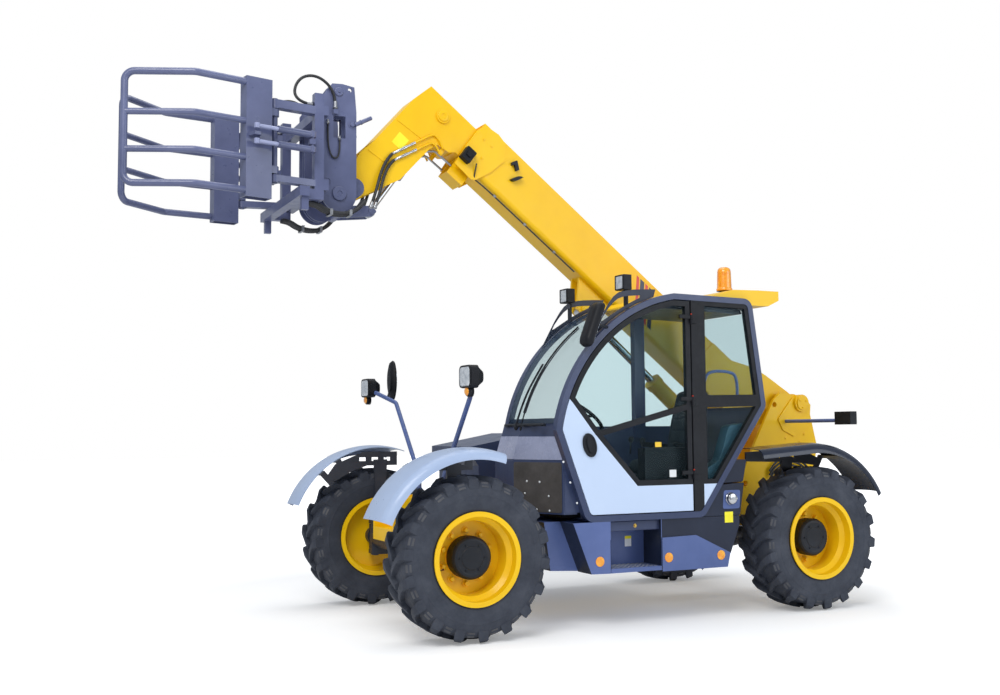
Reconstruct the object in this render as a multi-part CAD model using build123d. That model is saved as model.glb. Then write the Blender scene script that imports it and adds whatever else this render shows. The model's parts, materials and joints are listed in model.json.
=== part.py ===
"""Telehandler with a bale clamp, modelled in millimetres.

+X is forward, +Y is the machine's left, +Z is up, and Z = 0 is the ground under the tyres.
The boom is raised; U runs along the boom from its pivot and W stands square to it, upwards.
"""
import os
from math import asin, cos, pi, radians, sin, tan

from build123d import *

# ---------------------------------------------------------------- running gear
WHEELBASE = 3080
FRONT_AXLE_X = 780
REAR_AXLE_X = FRONT_AXLE_X - WHEELBASE
WHEEL_Y = 1020                 # middle plane of each wheel
TYRE_RADIUS = 580
TYRE_WIDTH = 400
TREAD_DEPTH = 38
TYRE_SIDES = 32                # flats round the carcass
LUG_COUNT = 18                 # on each side of the tread
LUG_TIP = (-9, 21, -14)        # degrees from the lug's own radius, half width, outboard
LUG_SHOULDER = (6, 28, 196)
RIM_FLANGE_RADIUS = 330
RIM_SEAT_RADIUS = 304
RIM_WIDTH = 380
RIM_WALL = 10
RIM_WELL_RADIUS = 272
WHEEL_DISC_OFFSET = -45        # disc lies inboard of the wheel's middle plane
HUB_RADIUS = 150
HUB_REACH = 88                 # hub cap's face, outboard of the middle plane
KINGPIN_Y = 900
POST_Y = 785                   # mudguard post, inboard of the tyre
KINGPIN_RADIUS = 26
AXLE_RADIUS = 92
AXLE_Z = TYRE_RADIUS
RUN_GAP = 0.05                 # radial clearance of a pin or shaft in its bore
MOVE_GAP = 8                   # clearance between pieces that move past each other
STEER_ARM = 150                # kingpin to track rod
STEER_ROD_RADIUS = 18
STEER_ROD_Z = TYRE_RADIUS + 60
STEER_EYE_HALF = 24
STEER_RAM_HALF = 260
FORK_INNER = 110
FORK_OUTER = 145
HUB_BACK = 9                   # hub's back face, inboard of the disc
HUB_BACK_RADIUS = 95
SPINDLE_RADIUS = 45
SPINDLE_REACH = 30             # how far the spindle's nose enters the hub, past the disc
FRAME_BOTTOM_AT_AXLE = AXLE_Z + 120
FENDER_RADIUS = 775
FENDER_WIDTH = 400
FENDER_WALL = 6
FENDER_LIP = 85
FENDER_CROWN = 14              # how far the inboard edge drops below the crown
FENDER_FRONT_ARC = (22, 108)   # degrees from straight ahead
FENDER_REAR_ARC = (86, 152)
FENDER_REAR_FLAT = 540

# ---------------------------------------------------------------- chassis
FRAME_HALF_WIDTH = 230         # outer face of the frame's side plates
FRAME_PLATE = 30
FRAME_TOP = 960
FRAME_BOTTOM = 480
FRAME_REAR_X = -3080
FRAME_FRONT_X = 1040
AXLE_ARCH = 235                # half length of the frame's arch over an axle
HITCH_REACH = 50               # tow pin's hole, behind the frame
HITCH_BORE_RADIUS = 16.5
BOOM_PIVOT_X = -2940
BOOM_PIVOT_Z = 1705
BOOM_PIN_RADIUS = 45

# ---------------------------------------------------------------- boom
BOOM_ANGLE = 38                # raised above level
BOOM_HALF_WIDTH = 140
BOOM_TOP_W = -130              # top plate, below the pivot's axis
BOOM_BOTTOM_W = -529
BOOM_WALL = 10
BOOM_CORNER = 40
BOOM_REAR_U = -95
BOOM_FRONT_U = 3885
INNER_HALF_WIDTH = 116
INNER_TOP_W = -218
INNER_BOTTOM_W = -500
INNER_REAR_U = 620
INNER_FRONT_U = 4132
NOSE_HALF_WIDTH = 122
NOSE_PLATE = 14
TILT_PIVOT_U = 4380
TILT_PIVOT_W = -1330
TILT_PIN_RADIUS = 30
TILT_BASE_U = 4189
TILT_BASE_W = -344
TILT_BASE_PIN = 25
TILT_EYE = (1160, 3200)        # rod's eye on the carriage's lever
TILT_BARREL_RADIUS = 44
TILT_ROD_RADIUS = 24
TILT_BARREL_LENGTH = 620

# ---------------------------------------------------------------- lift cylinder
LIFT_BASE_X = -2520
LIFT_BASE_Z = 1010
LIFT_EYE_U = 2200
LIFT_EYE_W = -705
LIFT_BARREL_RADIUS = 72
LIFT_ROD_RADIUS = 35
LIFT_EYE_RADIUS = 60
LIFT_EYE_HALF = 40
LIFT_PIN_RADIUS = 30
LIFT_BARREL_LENGTH = 1370

# ---------------------------------------------------------------- carriage and clamp
CARRIAGE_FRONT_X = 1640
CARRIAGE_INNER = 146           # inner faces of the plates beside the boom's nose
CARRIAGE_PLATE = 16
POST_Y_CLAMP = 450
CLAMP_PIN = (2050, 505)        # vertical pin that each arm swings on
CLAMP_PIN_RADIUS = 20
CLAMP_TOP_Z = 3986
CLAMP_BOTTOM_Z = 3124
ARM_YAW = {1: 12, -1: -7}      # how far each arm stands open
ARM_BOX = (45, 244)
ARM_BOX_HALF = 50
ARM_TUBE_RADIUS = 25
RAM_BASE = (1790, 565)
RAM_EYE = (190, 108)           # on the arm, from its pin
RAM_HEIGHTS = (3510, 3620)
HOSE_RADIUS = 11
RAM_BARREL_LENGTH = 270
RAM_HIDDEN = 130               # rod's tail inside the barrel when an arm is 12 degrees open

# ---------------------------------------------------------------- cab
CAB_LEFT = 1140
CAB_RIGHT = 270
CAB_POST = 60                  # depth of the side frames, across the cab
CAB_RING = 46                  # width of the side frames' section
CAB_FLOOR_Z = 790
GLASS = 6
DOOR_GAP = 8
DOOR_THICKNESS = 40
CAB_REAR_X = REAR_AXLE_X + 488
B_POST_X = CAB_REAR_X + 673
HINGE_X = B_POST_X + 47
HINGE_Y = CAB_LEFT + 8
HINGE_PIN_RADIUS = 6
ROOF_TOP_Z = 2596
CAB_ABOVE = ROOF_TOP_Z + 104    # clear of the cab, for trimming outlines
HINGE_HEIGHTS = (ROOF_TOP_Z - 266, 1690, 1120)
WORK_LAMPS = ((-535, 1045, ROOF_TOP_Z + 4), (-460, 300, ROOF_TOP_Z - 21))
BEACON = (CAB_REAR_X - 138, 450, ROOF_TOP_Z)
LAMP = (812, 1078, 1855)       # centre of a head lamp's face
TAIL_LAMP_Z = 1538

os.makedirs("parts", exist_ok=True)

BOOM = Plane(
    origin=(BOOM_PIVOT_X, 0, BOOM_PIVOT_Z),
    x_dir=(cos(radians(BOOM_ANGLE)), 0, sin(radians(BOOM_ANGLE))),
    z_dir=(0, -1, 0),
)
SIDES = ((1, "left"), (-1, "right"))
UPRIGHT = (Align.CENTER, Align.CENTER, Align.MIN)


# ---------------------------------------------------------------- helpers
def boom_point(u, w):
    """World X and Z of a point given along and above the boom."""
    place = BOOM.from_local_coords((u, w, 0))
    return place.X, place.Z


def outline(points, radius=0):
    """Closed face through the points, its corners rounded if a radius is given."""
    face = make_face(Polyline(*points, close=True))
    if radius:
        face = fillet(face.vertices(), radius)
    return face


def along_y(face, y0, y1, plane=Plane.XZ):
    """Extrude a face drawn in X and Z (or U and W) from y0 to y1."""
    return extrude(plane.offset(-y1) * face, y1 - y0)


def along_x(face, x0, x1):
    """Extrude a face drawn in Y and Z from x0 to x1."""
    return extrude(Plane.YZ.offset(x0) * face, x1 - x0)


def along_z(face, z0, z1):
    """Extrude a face drawn in X and Y from z0 to z1."""
    return extrude(Plane.XY.offset(z0) * face, z1 - z0)


def block(x0, x1, y0, y1, z0, z1):
    """Box between two corners."""
    return Pos((x0 + x1) / 2, (y0 + y1) / 2, (z0 + z1) / 2) * Box(x1 - x0, y1 - y0, z1 - z0)


def pin_y(x, z, radius, y0, y1, plane=Plane.XZ):
    """Round bar across the machine, centred at x, z (or u, w)."""
    return along_y(Pos(x, z) * Circle(radius), y0, y1, plane)


def rod(start, end, radius):
    """Round bar between two points."""
    line = Vector(*end) - Vector(*start)
    return extrude(Plane(origin=start, z_dir=line) * Circle(radius), line.length)


def pipe(points, radius, bend):
    """Round bar that follows the points, its corners bent to a radius."""
    path = FilletPolyline(*points, radius=bend)
    return sweep(Plane(origin=path @ 0, z_dir=path % 0) * Circle(radius), path)


def mirrored(shape):
    """The same piece on the machine's other side."""
    return mirror(shape, about=Plane.XZ)


def at_wheel(shape, x, side):
    """Place a wheel piece, drawn at the middle plane with +Y outboard."""
    turned = shape if side > 0 else mirrored(shape)
    return Pos(x, side * WHEEL_Y, AXLE_Z) * turned


def save(shape, name):
    export_step(shape, f"parts/{name}.step")


# ---------------------------------------------------------------- wheels
def spun(points):
    """Revolve a section of (radius, outboard) points about the wheel's axis."""
    face = make_face(Polyline(*[(r, y) for r, y in points], close=True))
    return revolve(Plane.XY * face, Axis.Y)


def tyre_carcass():
    """Hollow ring of flat facets: two beads, two sidewalls, two shoulders and the crown."""
    half = TYRE_WIDTH / 2
    crown = TYRE_RADIUS - TREAD_DEPTH
    bead = (RIM_SEAT_RADIUS + RUN_GAP) / cos(radians(180 / TYRE_SIDES))
    section = [(bead, -half * 0.82), (crown - 52, -half), (crown, -half * 0.7),
               (crown, half * 0.7), (crown - 52, half), (bead, half * 0.82)]
    turns = [2 * pi * k / TYRE_SIDES for k in range(TYRE_SIDES + 1)]
    facets = []
    for before, after in zip(turns, turns[1:]):
        for (r0, y0), (r1, y1) in zip(section, section[1:] + section[:1]):
            corners = [(r0, y0, before), (r1, y1, before), (r1, y1, after), (r0, y0, after)]
            facets.append(Face(Wire.make_polygon(
                [(r * cos(turn), y, r * sin(turn)) for r, y, turn in corners])))
    return Solid(Shell(facets))


def lug(side, angle):
    """Bar that slants from the tread's middle out over one shoulder, on its own radius."""
    ends = []
    for degrees, half, y in (LUG_TIP, LUG_SHOULDER):
        t = TYRE_RADIUS * sin(radians(degrees))
        ends += [(t - half, -side * y), (t + half, -side * y)]
    tip_corner = ends[0][0]
    height = (TYRE_RADIUS ** 2 - tip_corner ** 2) ** 0.5
    along = Plane(origin=(0, 0, 0), x_dir=(-sin(angle), 0, cos(angle)),
                  z_dir=(cos(angle), 0, sin(angle)))
    root = TYRE_RADIUS - 2 * TREAD_DEPTH
    face = make_face(Polyline(ends[0], ends[1], ends[3], ends[2], close=True))
    return extrude(along.offset(root) * face, height - root)


def tyre():
    """Carcass with slanting lugs, set so that one lug's tip stands on the ground."""
    corner = TYRE_RADIUS * sin(radians(LUG_TIP[0])) - LUG_TIP[1]
    first = -pi / 2 - asin(corner / TYRE_RADIUS)
    pitch = 2 * pi / LUG_COUNT
    lugs = [lug(side, first + pitch * (k + 0.25 - 0.25 * side))
            for side, _ in SIDES for k in range(LUG_COUNT)]
    return Part() + tyre_carcass() + lugs


def wheel():
    """Rim with a dropped well, its disc and the planetary hub that it is bolted to."""
    edge = RIM_WIDTH / 2
    seat = RIM_SEAT_RADIUS
    well = RIM_WELL_RADIUS
    wall = RIM_WALL
    disc = WHEEL_DISC_OFFSET
    outer = [
        (RIM_FLANGE_RADIUS, edge), (RIM_FLANGE_RADIUS, edge - wall), (seat, edge - 22),
        (seat, edge - 75), (well, edge - 105), (well, 105 - edge), (seat, 75 - edge),
        (seat, 22 - edge), (RIM_FLANGE_RADIUS, wall - edge), (RIM_FLANGE_RADIUS, -edge),
    ]
    inner = [
        (seat - wall, -edge), (seat - wall, 68 - edge), (well - wall, 98 - edge),
        (well - wall, disc - 7), (HUB_RADIUS - 10, disc - 7), (HUB_RADIUS - 10, disc + 7),
        (well - wall, disc + 7), (well - wall, edge - 98), (seat - wall, edge - 68),
        (seat - wall, edge),
    ]
    rim = spun(outer + inner)
    hub = spun([
        (0, disc - HUB_BACK), (HUB_BACK_RADIUS, disc - HUB_BACK), (HUB_BACK_RADIUS, disc - 7),
        (HUB_RADIUS, disc - 7), (HUB_RADIUS, HUB_REACH - 20), (HUB_RADIUS - 18, HUB_REACH),
        (0, HUB_REACH),
    ])
    bolt = Pos(0, disc + 14, HUB_RADIUS + 36) * Rot(90, 0, 0) * Cylinder(15, 30)
    bolts = [Rot(0, 36 * i, 0) * bolt for i in range(10)]
    seat = rod((0, disc - HUB_BACK - 5, 0), (0, disc + SPINDLE_REACH + 2, 0), SPINDLE_RADIUS + RUN_GAP)
    return rim + hub + bolts - seat


# ---------------------------------------------------------------- axles and knuckles
def steer_x(axle_x):
    """Track rods lie on the side of each axle that faces the machine's middle."""
    return axle_x - STEER_ARM if axle_x > 0 else axle_x + STEER_ARM


def axle(x):
    """Beam with a differential, a fork at each end round the kingpin, and the steering ram."""
    fork_y = KINGPIN_Y - 110
    body = rod((x, -fork_y, AXLE_Z), (x, fork_y, AXLE_Z), AXLE_RADIUS)
    housing = Pos(x, 0, AXLE_Z) * Sphere(165)
    body += housing & block(x - 200, x + 200, -200, 200, AXLE_Z - 200, FRAME_BOTTOM_AT_AXLE)
    body += rod((x, 0, AXLE_Z), (2 * steer_x(x) - x, 0, AXLE_Z - 30), 75)
    for side, _ in SIDES:
        y = side * KINGPIN_Y
        root = y - side * 110
        body += block(x - 85, x + 85, min(root, root - side * 35), max(root, root - side * 35),
                      AXLE_Z - FORK_OUTER, AXLE_Z + FORK_OUTER)
        for low in (-FORK_OUTER, FORK_INNER):
            z0 = AXLE_Z + low
            z1 = z0 + FORK_OUTER - FORK_INNER
            body += block(x - 60, x + 60, min(y, root), max(y, root), z0, z1)
            body += Pos(x, y, (z0 + z1) / 2) * Cylinder(60, z1 - z0)
        body -= Pos(x, y, AXLE_Z) * Cylinder(KINGPIN_RADIUS + RUN_GAP, 400)
    body += block(x - 130, x + 130, -FRAME_HALF_WIDTH, FRAME_HALF_WIDTH, AXLE_Z + 70,
                  FRAME_BOTTOM_AT_AXLE)
    rx = steer_x(x)
    body += rod((rx, -STEER_RAM_HALF, STEER_ROD_Z), (rx, STEER_RAM_HALF, STEER_ROD_Z), 38)
    body += block(min(x, rx), max(x, rx), -70, 70, STEER_ROD_Z - 20, STEER_ROD_Z + 20)
    body -= rod((rx, -STEER_RAM_HALF - 5, STEER_ROD_Z), (rx, STEER_RAM_HALF + 5, STEER_ROD_Z),
                STEER_ROD_RADIUS + RUN_GAP)
    return body


def steer_rod(x):
    """Rod of the double-ended steering ram, with an eye at each end."""
    rx = steer_x(x)
    bar = rod((rx, -KINGPIN_Y, STEER_ROD_Z), (rx, KINGPIN_Y, STEER_ROD_Z), STEER_ROD_RADIUS)
    for side, _ in SIDES:
        bar += Pos(rx, side * KINGPIN_Y, STEER_ROD_Z) * Cylinder(30, 2 * STEER_EYE_HALF)
    return bar


def knuckle(x, side):
    """Kingpin, spindle, steering arm and the post that carries the mudguard."""
    y = side * KINGPIN_Y
    body = Pos(x, y, AXLE_Z) * Cylinder(KINGPIN_RADIUS, 2 * FORK_OUTER + 40)
    body += Pos(x, y, AXLE_Z) * Cylinder(KINGPIN_RADIUS + 30, 2 * (FORK_INNER - MOVE_GAP))
    inner_face = side * (WHEEL_Y + WHEEL_DISC_OFFSET - HUB_BACK - 2)
    body += rod((x, y, AXLE_Z), (x, inner_face, AXLE_Z), 74)
    nose = side * (WHEEL_Y + WHEEL_DISC_OFFSET + SPINDLE_REACH)
    body += rod((x, y, AXLE_Z), (x, nose, AXLE_Z), SPINDLE_RADIUS)
    toward = steer_x(x)
    arm_top = STEER_ROD_Z - STEER_EYE_HALF - MOVE_GAP
    body += block(min(x, toward), max(x, toward), y - 32, y + 32, arm_top - 24, arm_top)
    body += Pos(toward, y, arm_top - 12) * Cylinder(32, 24)
    cap_z = AXLE_Z + FORK_OUTER + MOVE_GAP
    post_y = side * POST_Y
    body += Pos(x, y, cap_z + 9) * Cylinder(45, 18)
    shelf_end = post_y - side * 10
    body += block(x - 40, x + 40, min(y, shelf_end), max(y, shelf_end), cap_z, cap_z + 18)
    post_top = AXLE_Z + FENDER_RADIUS - 120
    body += along_y(outline([(x - 35, cap_z), (x + 35, cap_z), (x + 60, post_top), (x - 60, post_top)]),
                    min(post_y - 10, post_y + 10), max(post_y - 10, post_y + 10))
    return body + fender_bracket(x, side)


def fender_bracket(x, side):
    """Slotted carrier plate beside the tyre, with a strap out to the mudguard at each end."""
    y = side * POST_Y
    r = FENDER_RADIUS
    z = AXLE_Z
    if x > 0:
        points = [(-150, 0.93), (150, 0.93), (400, 0.80), (480, 0.66), (400, 0.62), (260, 0.72),
                  (120, 0.78), (-150, 0.78)]
        straps = (60, 47)
    else:
        points = [(430, 0.90), (-150, 0.93), (-350, 0.82), (-325, 0.74), (-100, 0.78), (430, 0.80)]
        straps = (100, 120)
    plate = along_y(outline([(x + dx, z + k * r) for dx, k in points]), y - 7, y + 7)
    for dx in (-90, 20, 130):
        plate -= block(x + dx, x + dx + 60, y - 20, y + 20, z + 0.83 * r, z + 0.87 * r)
    outer = side * (WHEEL_Y + 60)
    for degrees in straps:
        under = r - FENDER_CROWN - FENDER_WALL - 0.45
        bar = block(under - 10, under, min(y, outer), max(y, outer), -25, 25)
        web = block(r * 0.80, under, y - 7, y + 7, -25, 25)
        plate += Pos(x, 0, z) * Rot(0, -degrees, 0) * (bar + web)
    return plate


# ---------------------------------------------------------------- mudguards
def fender_face():
    """Crowned section, drawn in radius and Y: arched over the tyre, turned down outboard."""
    inner = WHEEL_Y - FENDER_WIDTH / 2
    outer = WHEEL_Y + FENDER_WIDTH / 2
    r = FENDER_RADIUS
    w = FENDER_WALL
    edge, middle, brow = (r - FENDER_CROWN, inner), (r, inner + 180), (r - 10, outer - 80)
    turn, lip = (r - 32, outer - 22), (r - FENDER_LIP, outer)
    top = [ThreePointArc(edge, middle, brow), ThreePointArc(brow, turn, lip)]
    edge, middle, brow = (edge[0] - w, inner), (r - w, inner + 180), (r - 10 - w, outer - 82)
    turn, lip = (r - 33 - w, outer - 24 - w / 2), (r - FENDER_LIP, outer - w)
    under = [ThreePointArc(edge, middle, brow), ThreePointArc(brow, turn, lip)]
    return make_face([*top, Line(top[-1] @ 1, under[-1] @ 1), *under, Line(top[0] @ 0, under[0] @ 0)])


def fender(x, side):
    """Plastic mudguard that turns with its wheel."""
    front = x > 0
    start, end = FENDER_FRONT_ARC if front else FENDER_REAR_ARC
    shell = Rot(0, -end, 0) * revolve(Plane.XY * fender_face(), Axis.Y, end - start)
    if not front:
        upright = Plane(origin=(0, 0, 0), x_dir=(0, 0, 1), z_dir=(-1, 0, 0))
        flat = extrude(upright * fender_face(), -FENDER_REAR_FLAT)
        shell += Rot(0, 90 - start, 0) * flat
    if side < 0:
        shell = mirrored(shell)
    return Pos(x, 0, AXLE_Z) * shell


# ---------------------------------------------------------------- chassis
def frame_side():
    """Outline of a side plate: arched over both axles, rising to the boom's pivot."""
    arch = FRAME_BOTTOM_AT_AXLE
    front, rear = FRAME_FRONT_X, FRAME_REAR_X
    fx, rx = FRONT_AXLE_X, REAR_AXLE_X
    return [
        (front, 620), (front, FRAME_TOP - 40), (front - 60, FRAME_TOP), (200, FRAME_TOP),
        (120, 900), (rx + 400, 900), (rx + 73, 1000), (-2640, 1730), (-2720, 1800), (-3000, 1770),
        (-3040, 1700), (-3130, 1330), (rear, 900), (rear, 620), (rx - AXLE_ARCH, 620),
        (rx - AXLE_ARCH, arch), (rx + AXLE_ARCH, arch), (rx + AXLE_ARCH + 60, FRAME_BOTTOM),
        (fx - AXLE_ARCH - 60, FRAME_BOTTOM), (fx - AXLE_ARCH, arch), (fx + AXLE_ARCH, arch),
        (fx + AXLE_ARCH, 620),
    ]


def chassis_frame():
    inside = FRAME_HALF_WIDTH - FRAME_PLATE
    body = Part()
    for side, _ in SIDES:
        y0 = min(side * inside, side * FRAME_HALF_WIDTH)
        plate = along_y(outline(frame_side()), y0, y0 + FRAME_PLATE)
        y1 = min(side * FRAME_HALF_WIDTH, side * (FRAME_HALF_WIDTH + 14))
        doubler = outline([(-2680, 1560), (-2730, 1460), (-2860, 1400), (-3040, 1500), (-3060, 1690),
                           (-2990, 1760), (-2860, 1765)], 18)
        plate += along_y(doubler, y1, y1 + 14)
        boss_end = side * (FRAME_HALF_WIDTH + 40)
        plate += pin_y(BOOM_PIVOT_X, BOOM_PIVOT_Z, 78, min(side * inside, boss_end),
                       max(side * inside, boss_end))
        for x, z, radius in ((-2652, 1690, 24), (-2880, 1290, 30), (-2300, 985, 26)):
            plate -= pin_y(x, z, radius, -400, 400)
        body += plate
    for x0, x1, z0, z1 in (
        (FRAME_FRONT_X - 20, FRAME_FRONT_X, 620, 720), (-300, -280, FRAME_BOTTOM, 720),
        (-1300, -1280, FRAME_BOTTOM, 720),
        (REAR_AXLE_X + 340, REAR_AXLE_X + 360, FRAME_BOTTOM, 720),
        (FRAME_REAR_X, FRAME_REAR_X + 20, 620, 1180),
    ):
        body += block(x0, x1, -inside, inside, z0, z1)
    body += block(REAR_AXLE_X + 310, FRONT_AXLE_X - 310, -inside, inside, FRAME_BOTTOM, FRAME_BOTTOM + 12)
    for x in (FRONT_AXLE_X, REAR_AXLE_X):
        body += block(x - AXLE_ARCH, x + AXLE_ARCH, -inside, inside, FRAME_BOTTOM_AT_AXLE,
                      FRAME_BOTTOM_AT_AXLE + 14)
    for x in (-2900, -2800):
        body += block(x, x + 16, -inside, inside, 1050, 1150)
    body -= pin_y(BOOM_PIVOT_X, BOOM_PIVOT_Z, BOOM_PIN_RADIUS + RUN_GAP, -400, 400)
    for side, _ in SIDES:
        y0 = side * (LIFT_EYE_HALF + MOVE_GAP)
        y1 = y0 + side * 24
        lug = outline([(LIFT_BASE_X - 90, 700), (LIFT_BASE_X + 110, 700), (LIFT_BASE_X + 55, 1050),
                       (LIFT_BASE_X - 55, 1050)], 30)
        lug = along_y(lug, min(y0, y1), max(y0, y1))
        body += lug
    body += block(LIFT_BASE_X - 90, LIFT_BASE_X + 110, -inside, inside, 700, 716)
    body -= pin_y(LIFT_BASE_X, LIFT_BASE_Z, LIFT_PIN_RADIUS + RUN_GAP, -LIFT_EYE_HALF - 60,
                  LIFT_EYE_HALF + 60)
    hitch = block(FRAME_REAR_X - HITCH_REACH - 36, FRAME_REAR_X, -70, 70, 640, 664)
    hitch += block(FRAME_REAR_X - HITCH_REACH - 36, FRAME_REAR_X, -70, 70, 760, 784)
    hitch -= Pos(FRAME_REAR_X - HITCH_REACH, 0, 710) * Cylinder(HITCH_BORE_RADIUS, 400)
    return body + hitch


def pins():
    """Pins that the frame holds: the boom's pivot and the lift cylinder's base."""
    boom = pin_y(BOOM_PIVOT_X, BOOM_PIVOT_Z, BOOM_PIN_RADIUS, -FRAME_HALF_WIDTH - 52,
                 FRAME_HALF_WIDTH + 52)
    for side, _ in SIDES:
        y = side * (FRAME_HALF_WIDTH + 40)
        boom += pin_y(BOOM_PIVOT_X, BOOM_PIVOT_Z, 62, min(y, y + side * 12), max(y, y + side * 12))
    reach = LIFT_EYE_HALF + MOVE_GAP + 24 + 10
    return boom + pin_y(LIFT_BASE_X, LIFT_BASE_Z, LIFT_PIN_RADIUS, -reach, reach)


def engine_hood():
    """Sheet cover over the engine on the right side, open below, with a grille in its flank."""
    y0, y1 = -1080, -FRAME_HALF_WIDTH
    rear, front = REAR_AXLE_X + 700, 110
    wall = 4
    shape = outline([(rear, 760), (rear, 1300), (rear + 120, 1420), (-420, 1450), (180, 1340),
                     (180, 1270), (front, 1180), (front, 760)])
    core = outline([(rear + wall, 700), (rear + wall, 1299), (rear + 122, 1416), (-420, 1446),
                    (176, 1337), (176, 1272), (front - wall, 1182), (front - wall, 700)])
    hood = along_y(shape, y0, y1) - along_y(core, y0 + wall, y1 - wall)
    for i in range(9):
        x = rear + 140 + i * 110
        hood -= block(x, x + 60, y0 - 5, y0 + wall + 5, 1050, 1230)
    return hood


def engine_block():
    return block(REAR_AXLE_X + 850, -450, -800, -330, 740, 1250)


def right_tank():
    """Tank under the engine cover, between the wheels on the right."""
    rear = REAR_AXLE_X + 800
    return along_y(outline([(rear, 430), (rear, 740), (0, 740), (0, 520), (-90, 430)], 40),
                   -1090, -FRAME_HALF_WIDTH)


def side_skirts():
    """Folded panels, step and filler box under the cab, on the left."""
    y0, y1 = FRAME_HALF_WIDTH, CAB_LEFT
    wall = 6
    top = CAB_FLOOR_Z
    front = along_y(outline([(-334, top), (-15, top), (-165, 412), (-334, 408)]), y1 - 200, y1)
    front -= along_y(outline([(-328, top + 8), (-29, top + 8), (-173, 418), (-328, 414)]), y0, y1 - wall)
    front += along_y(outline([(-334, top), (120, top), (70, 430), (-334, 408)]), y0, y1 - 200)
    step = block(-790, -328, y1 - 260, y1 - 250, 408, top)
    step += block(-790, -328, y1 - 260, y1 - 5, 408, 440)
    step += block(-790, -784, y1 - 260, y1 - 5, 408, top)
    x = REAR_AXLE_X
    rear = along_y(outline([(-790, 397), (x + 902, 397), (x + 873, 506), (x + 1196, 656), (-790, 650)]),
                   y1 - 260, y1)
    box = along_y(outline([(-790, 640), (x + 860, 500), (x + 770, 720), (x + 770, top), (-790, top)]),
                  y1 - 300, y1 - 14)
    tank = block(x + 900, -790, y0, y1 - 250, 440, top)
    return front + step + rear + box + tank


# ---------------------------------------------------------------- cab
def cab_outline():
    """Side view of the cab: level floor, raked front and rear, and a rounded brow."""
    low_front, low_rear = (-133, CAB_FLOOR_Z), (CAB_REAR_X + 627, CAB_FLOOR_Z)
    waist, brow = (CAB_REAR_X, 1650), (CAB_REAR_X + 122, ROOF_TOP_Z - 81)
    roof_front, chin = (-940, ROOF_TOP_Z - 69), (116, 1470)
    front_arc = ThreePointArc(roof_front, (-287, ROOF_TOP_Z - 385), chin)
    face = make_face([
        Polyline(chin, low_front, low_rear, waist, brow, roof_front), front_arc,
    ])
    near = [v for v in face.vertices() if v.X < -120 and abs(v.X - roof_front[0]) > 5]
    return fillet(near, 90)


def cab_opening():
    """Opening inside the tubular side ring."""
    return offset(cab_outline(), -CAB_RING)


def above_sill():
    """Region over the door's lower panel, whose edge runs down to the rear."""
    return outline([(300, 1760), (60, 1760), (-25, 1674), (-213, 1440), (-581, 1046), (-1900, 1046),
                    (-1900, CAB_ABOVE), (300, CAB_ABOVE)])


def door_face():
    clear = offset(cab_opening(), -DOOR_GAP)
    return clear & outline([(B_POST_X + 53, 0), (400, 0), (400, 3000), (B_POST_X + 53, 3000)])


def quarter_face():
    return cab_opening() & outline([(B_POST_X - 53, 0), (-2000, 0), (-2000, 3000),
                                    (B_POST_X - 53, 3000)])


def door_bar():
    """Bar that crosses the door's glass, falling towards the front."""
    return outline([(100, 1330), (-1200, 1660), (-1200, 1705), (100, 1375)])


def quarter_bar():
    return outline([(-1100, 1640), (-2000, 1655), (-2000, 1750), (-1100, 1735)])


def door_panes():
    return offset(door_face() & above_sill(), -42) - door_bar()


def quarter_panes():
    return offset(quarter_face() & above_sill(), -36) - quarter_bar()


def door_panel():
    y1 = CAB_LEFT - 4
    panel = along_y(door_face() - above_sill(), y1 - DOOR_THICKNESS, y1)
    handle = Pos(-163, y1, 1358) * Rot(0, 15, 0) * Rot(90, 0, 0) * extrude(Ellipse(38, 62), 12)
    return panel + Pos(0, 10, 0) * handle


def door_frame():
    y1 = CAB_LEFT - 4
    frame = (door_face() & above_sill()) - door_panes()
    body = along_y(frame, y1 - DOOR_THICKNESS, y1)
    for z in HINGE_HEIGHTS:
        body += block(HINGE_X + 8, HINGE_X + 110, y1, y1 + 14, z + 3, z + 32)
        body += Pos(HINGE_X, HINGE_Y, z + 17.5) * Cylinder(11, 29)
        body -= Pos(HINGE_X, HINGE_Y, z) * Cylinder(HINGE_PIN_RADIUS + RUN_GAP, 80)
    return body


def door_glass():
    y1 = CAB_LEFT - 18
    return along_y(door_panes(), y1 - GLASS, y1)


def quarter_frame():
    """Middle post and the black surround of the fixed side window behind it."""
    y1 = CAB_LEFT - 4
    frame = (quarter_face() & above_sill()) - quarter_panes()
    body = along_y(frame, y1 - DOOR_THICKNESS, y1)
    post = cab_opening() & outline([(B_POST_X - 53, 0), (B_POST_X + 40, 0), (B_POST_X + 40, 3000),
                                    (B_POST_X - 53, 3000)])
    body += along_y(post, y1 - 56, y1)
    for z in HINGE_HEIGHTS:
        body += block(HINGE_X - 50, HINGE_X, y1, y1 + 14, z - 32, z - 3)
        body += Pos(HINGE_X, HINGE_Y, z - 17.5) * Cylinder(11, 29)
        body += Pos(HINGE_X, HINGE_Y, z) * Cylinder(HINGE_PIN_RADIUS, 64)
    return body


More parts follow.
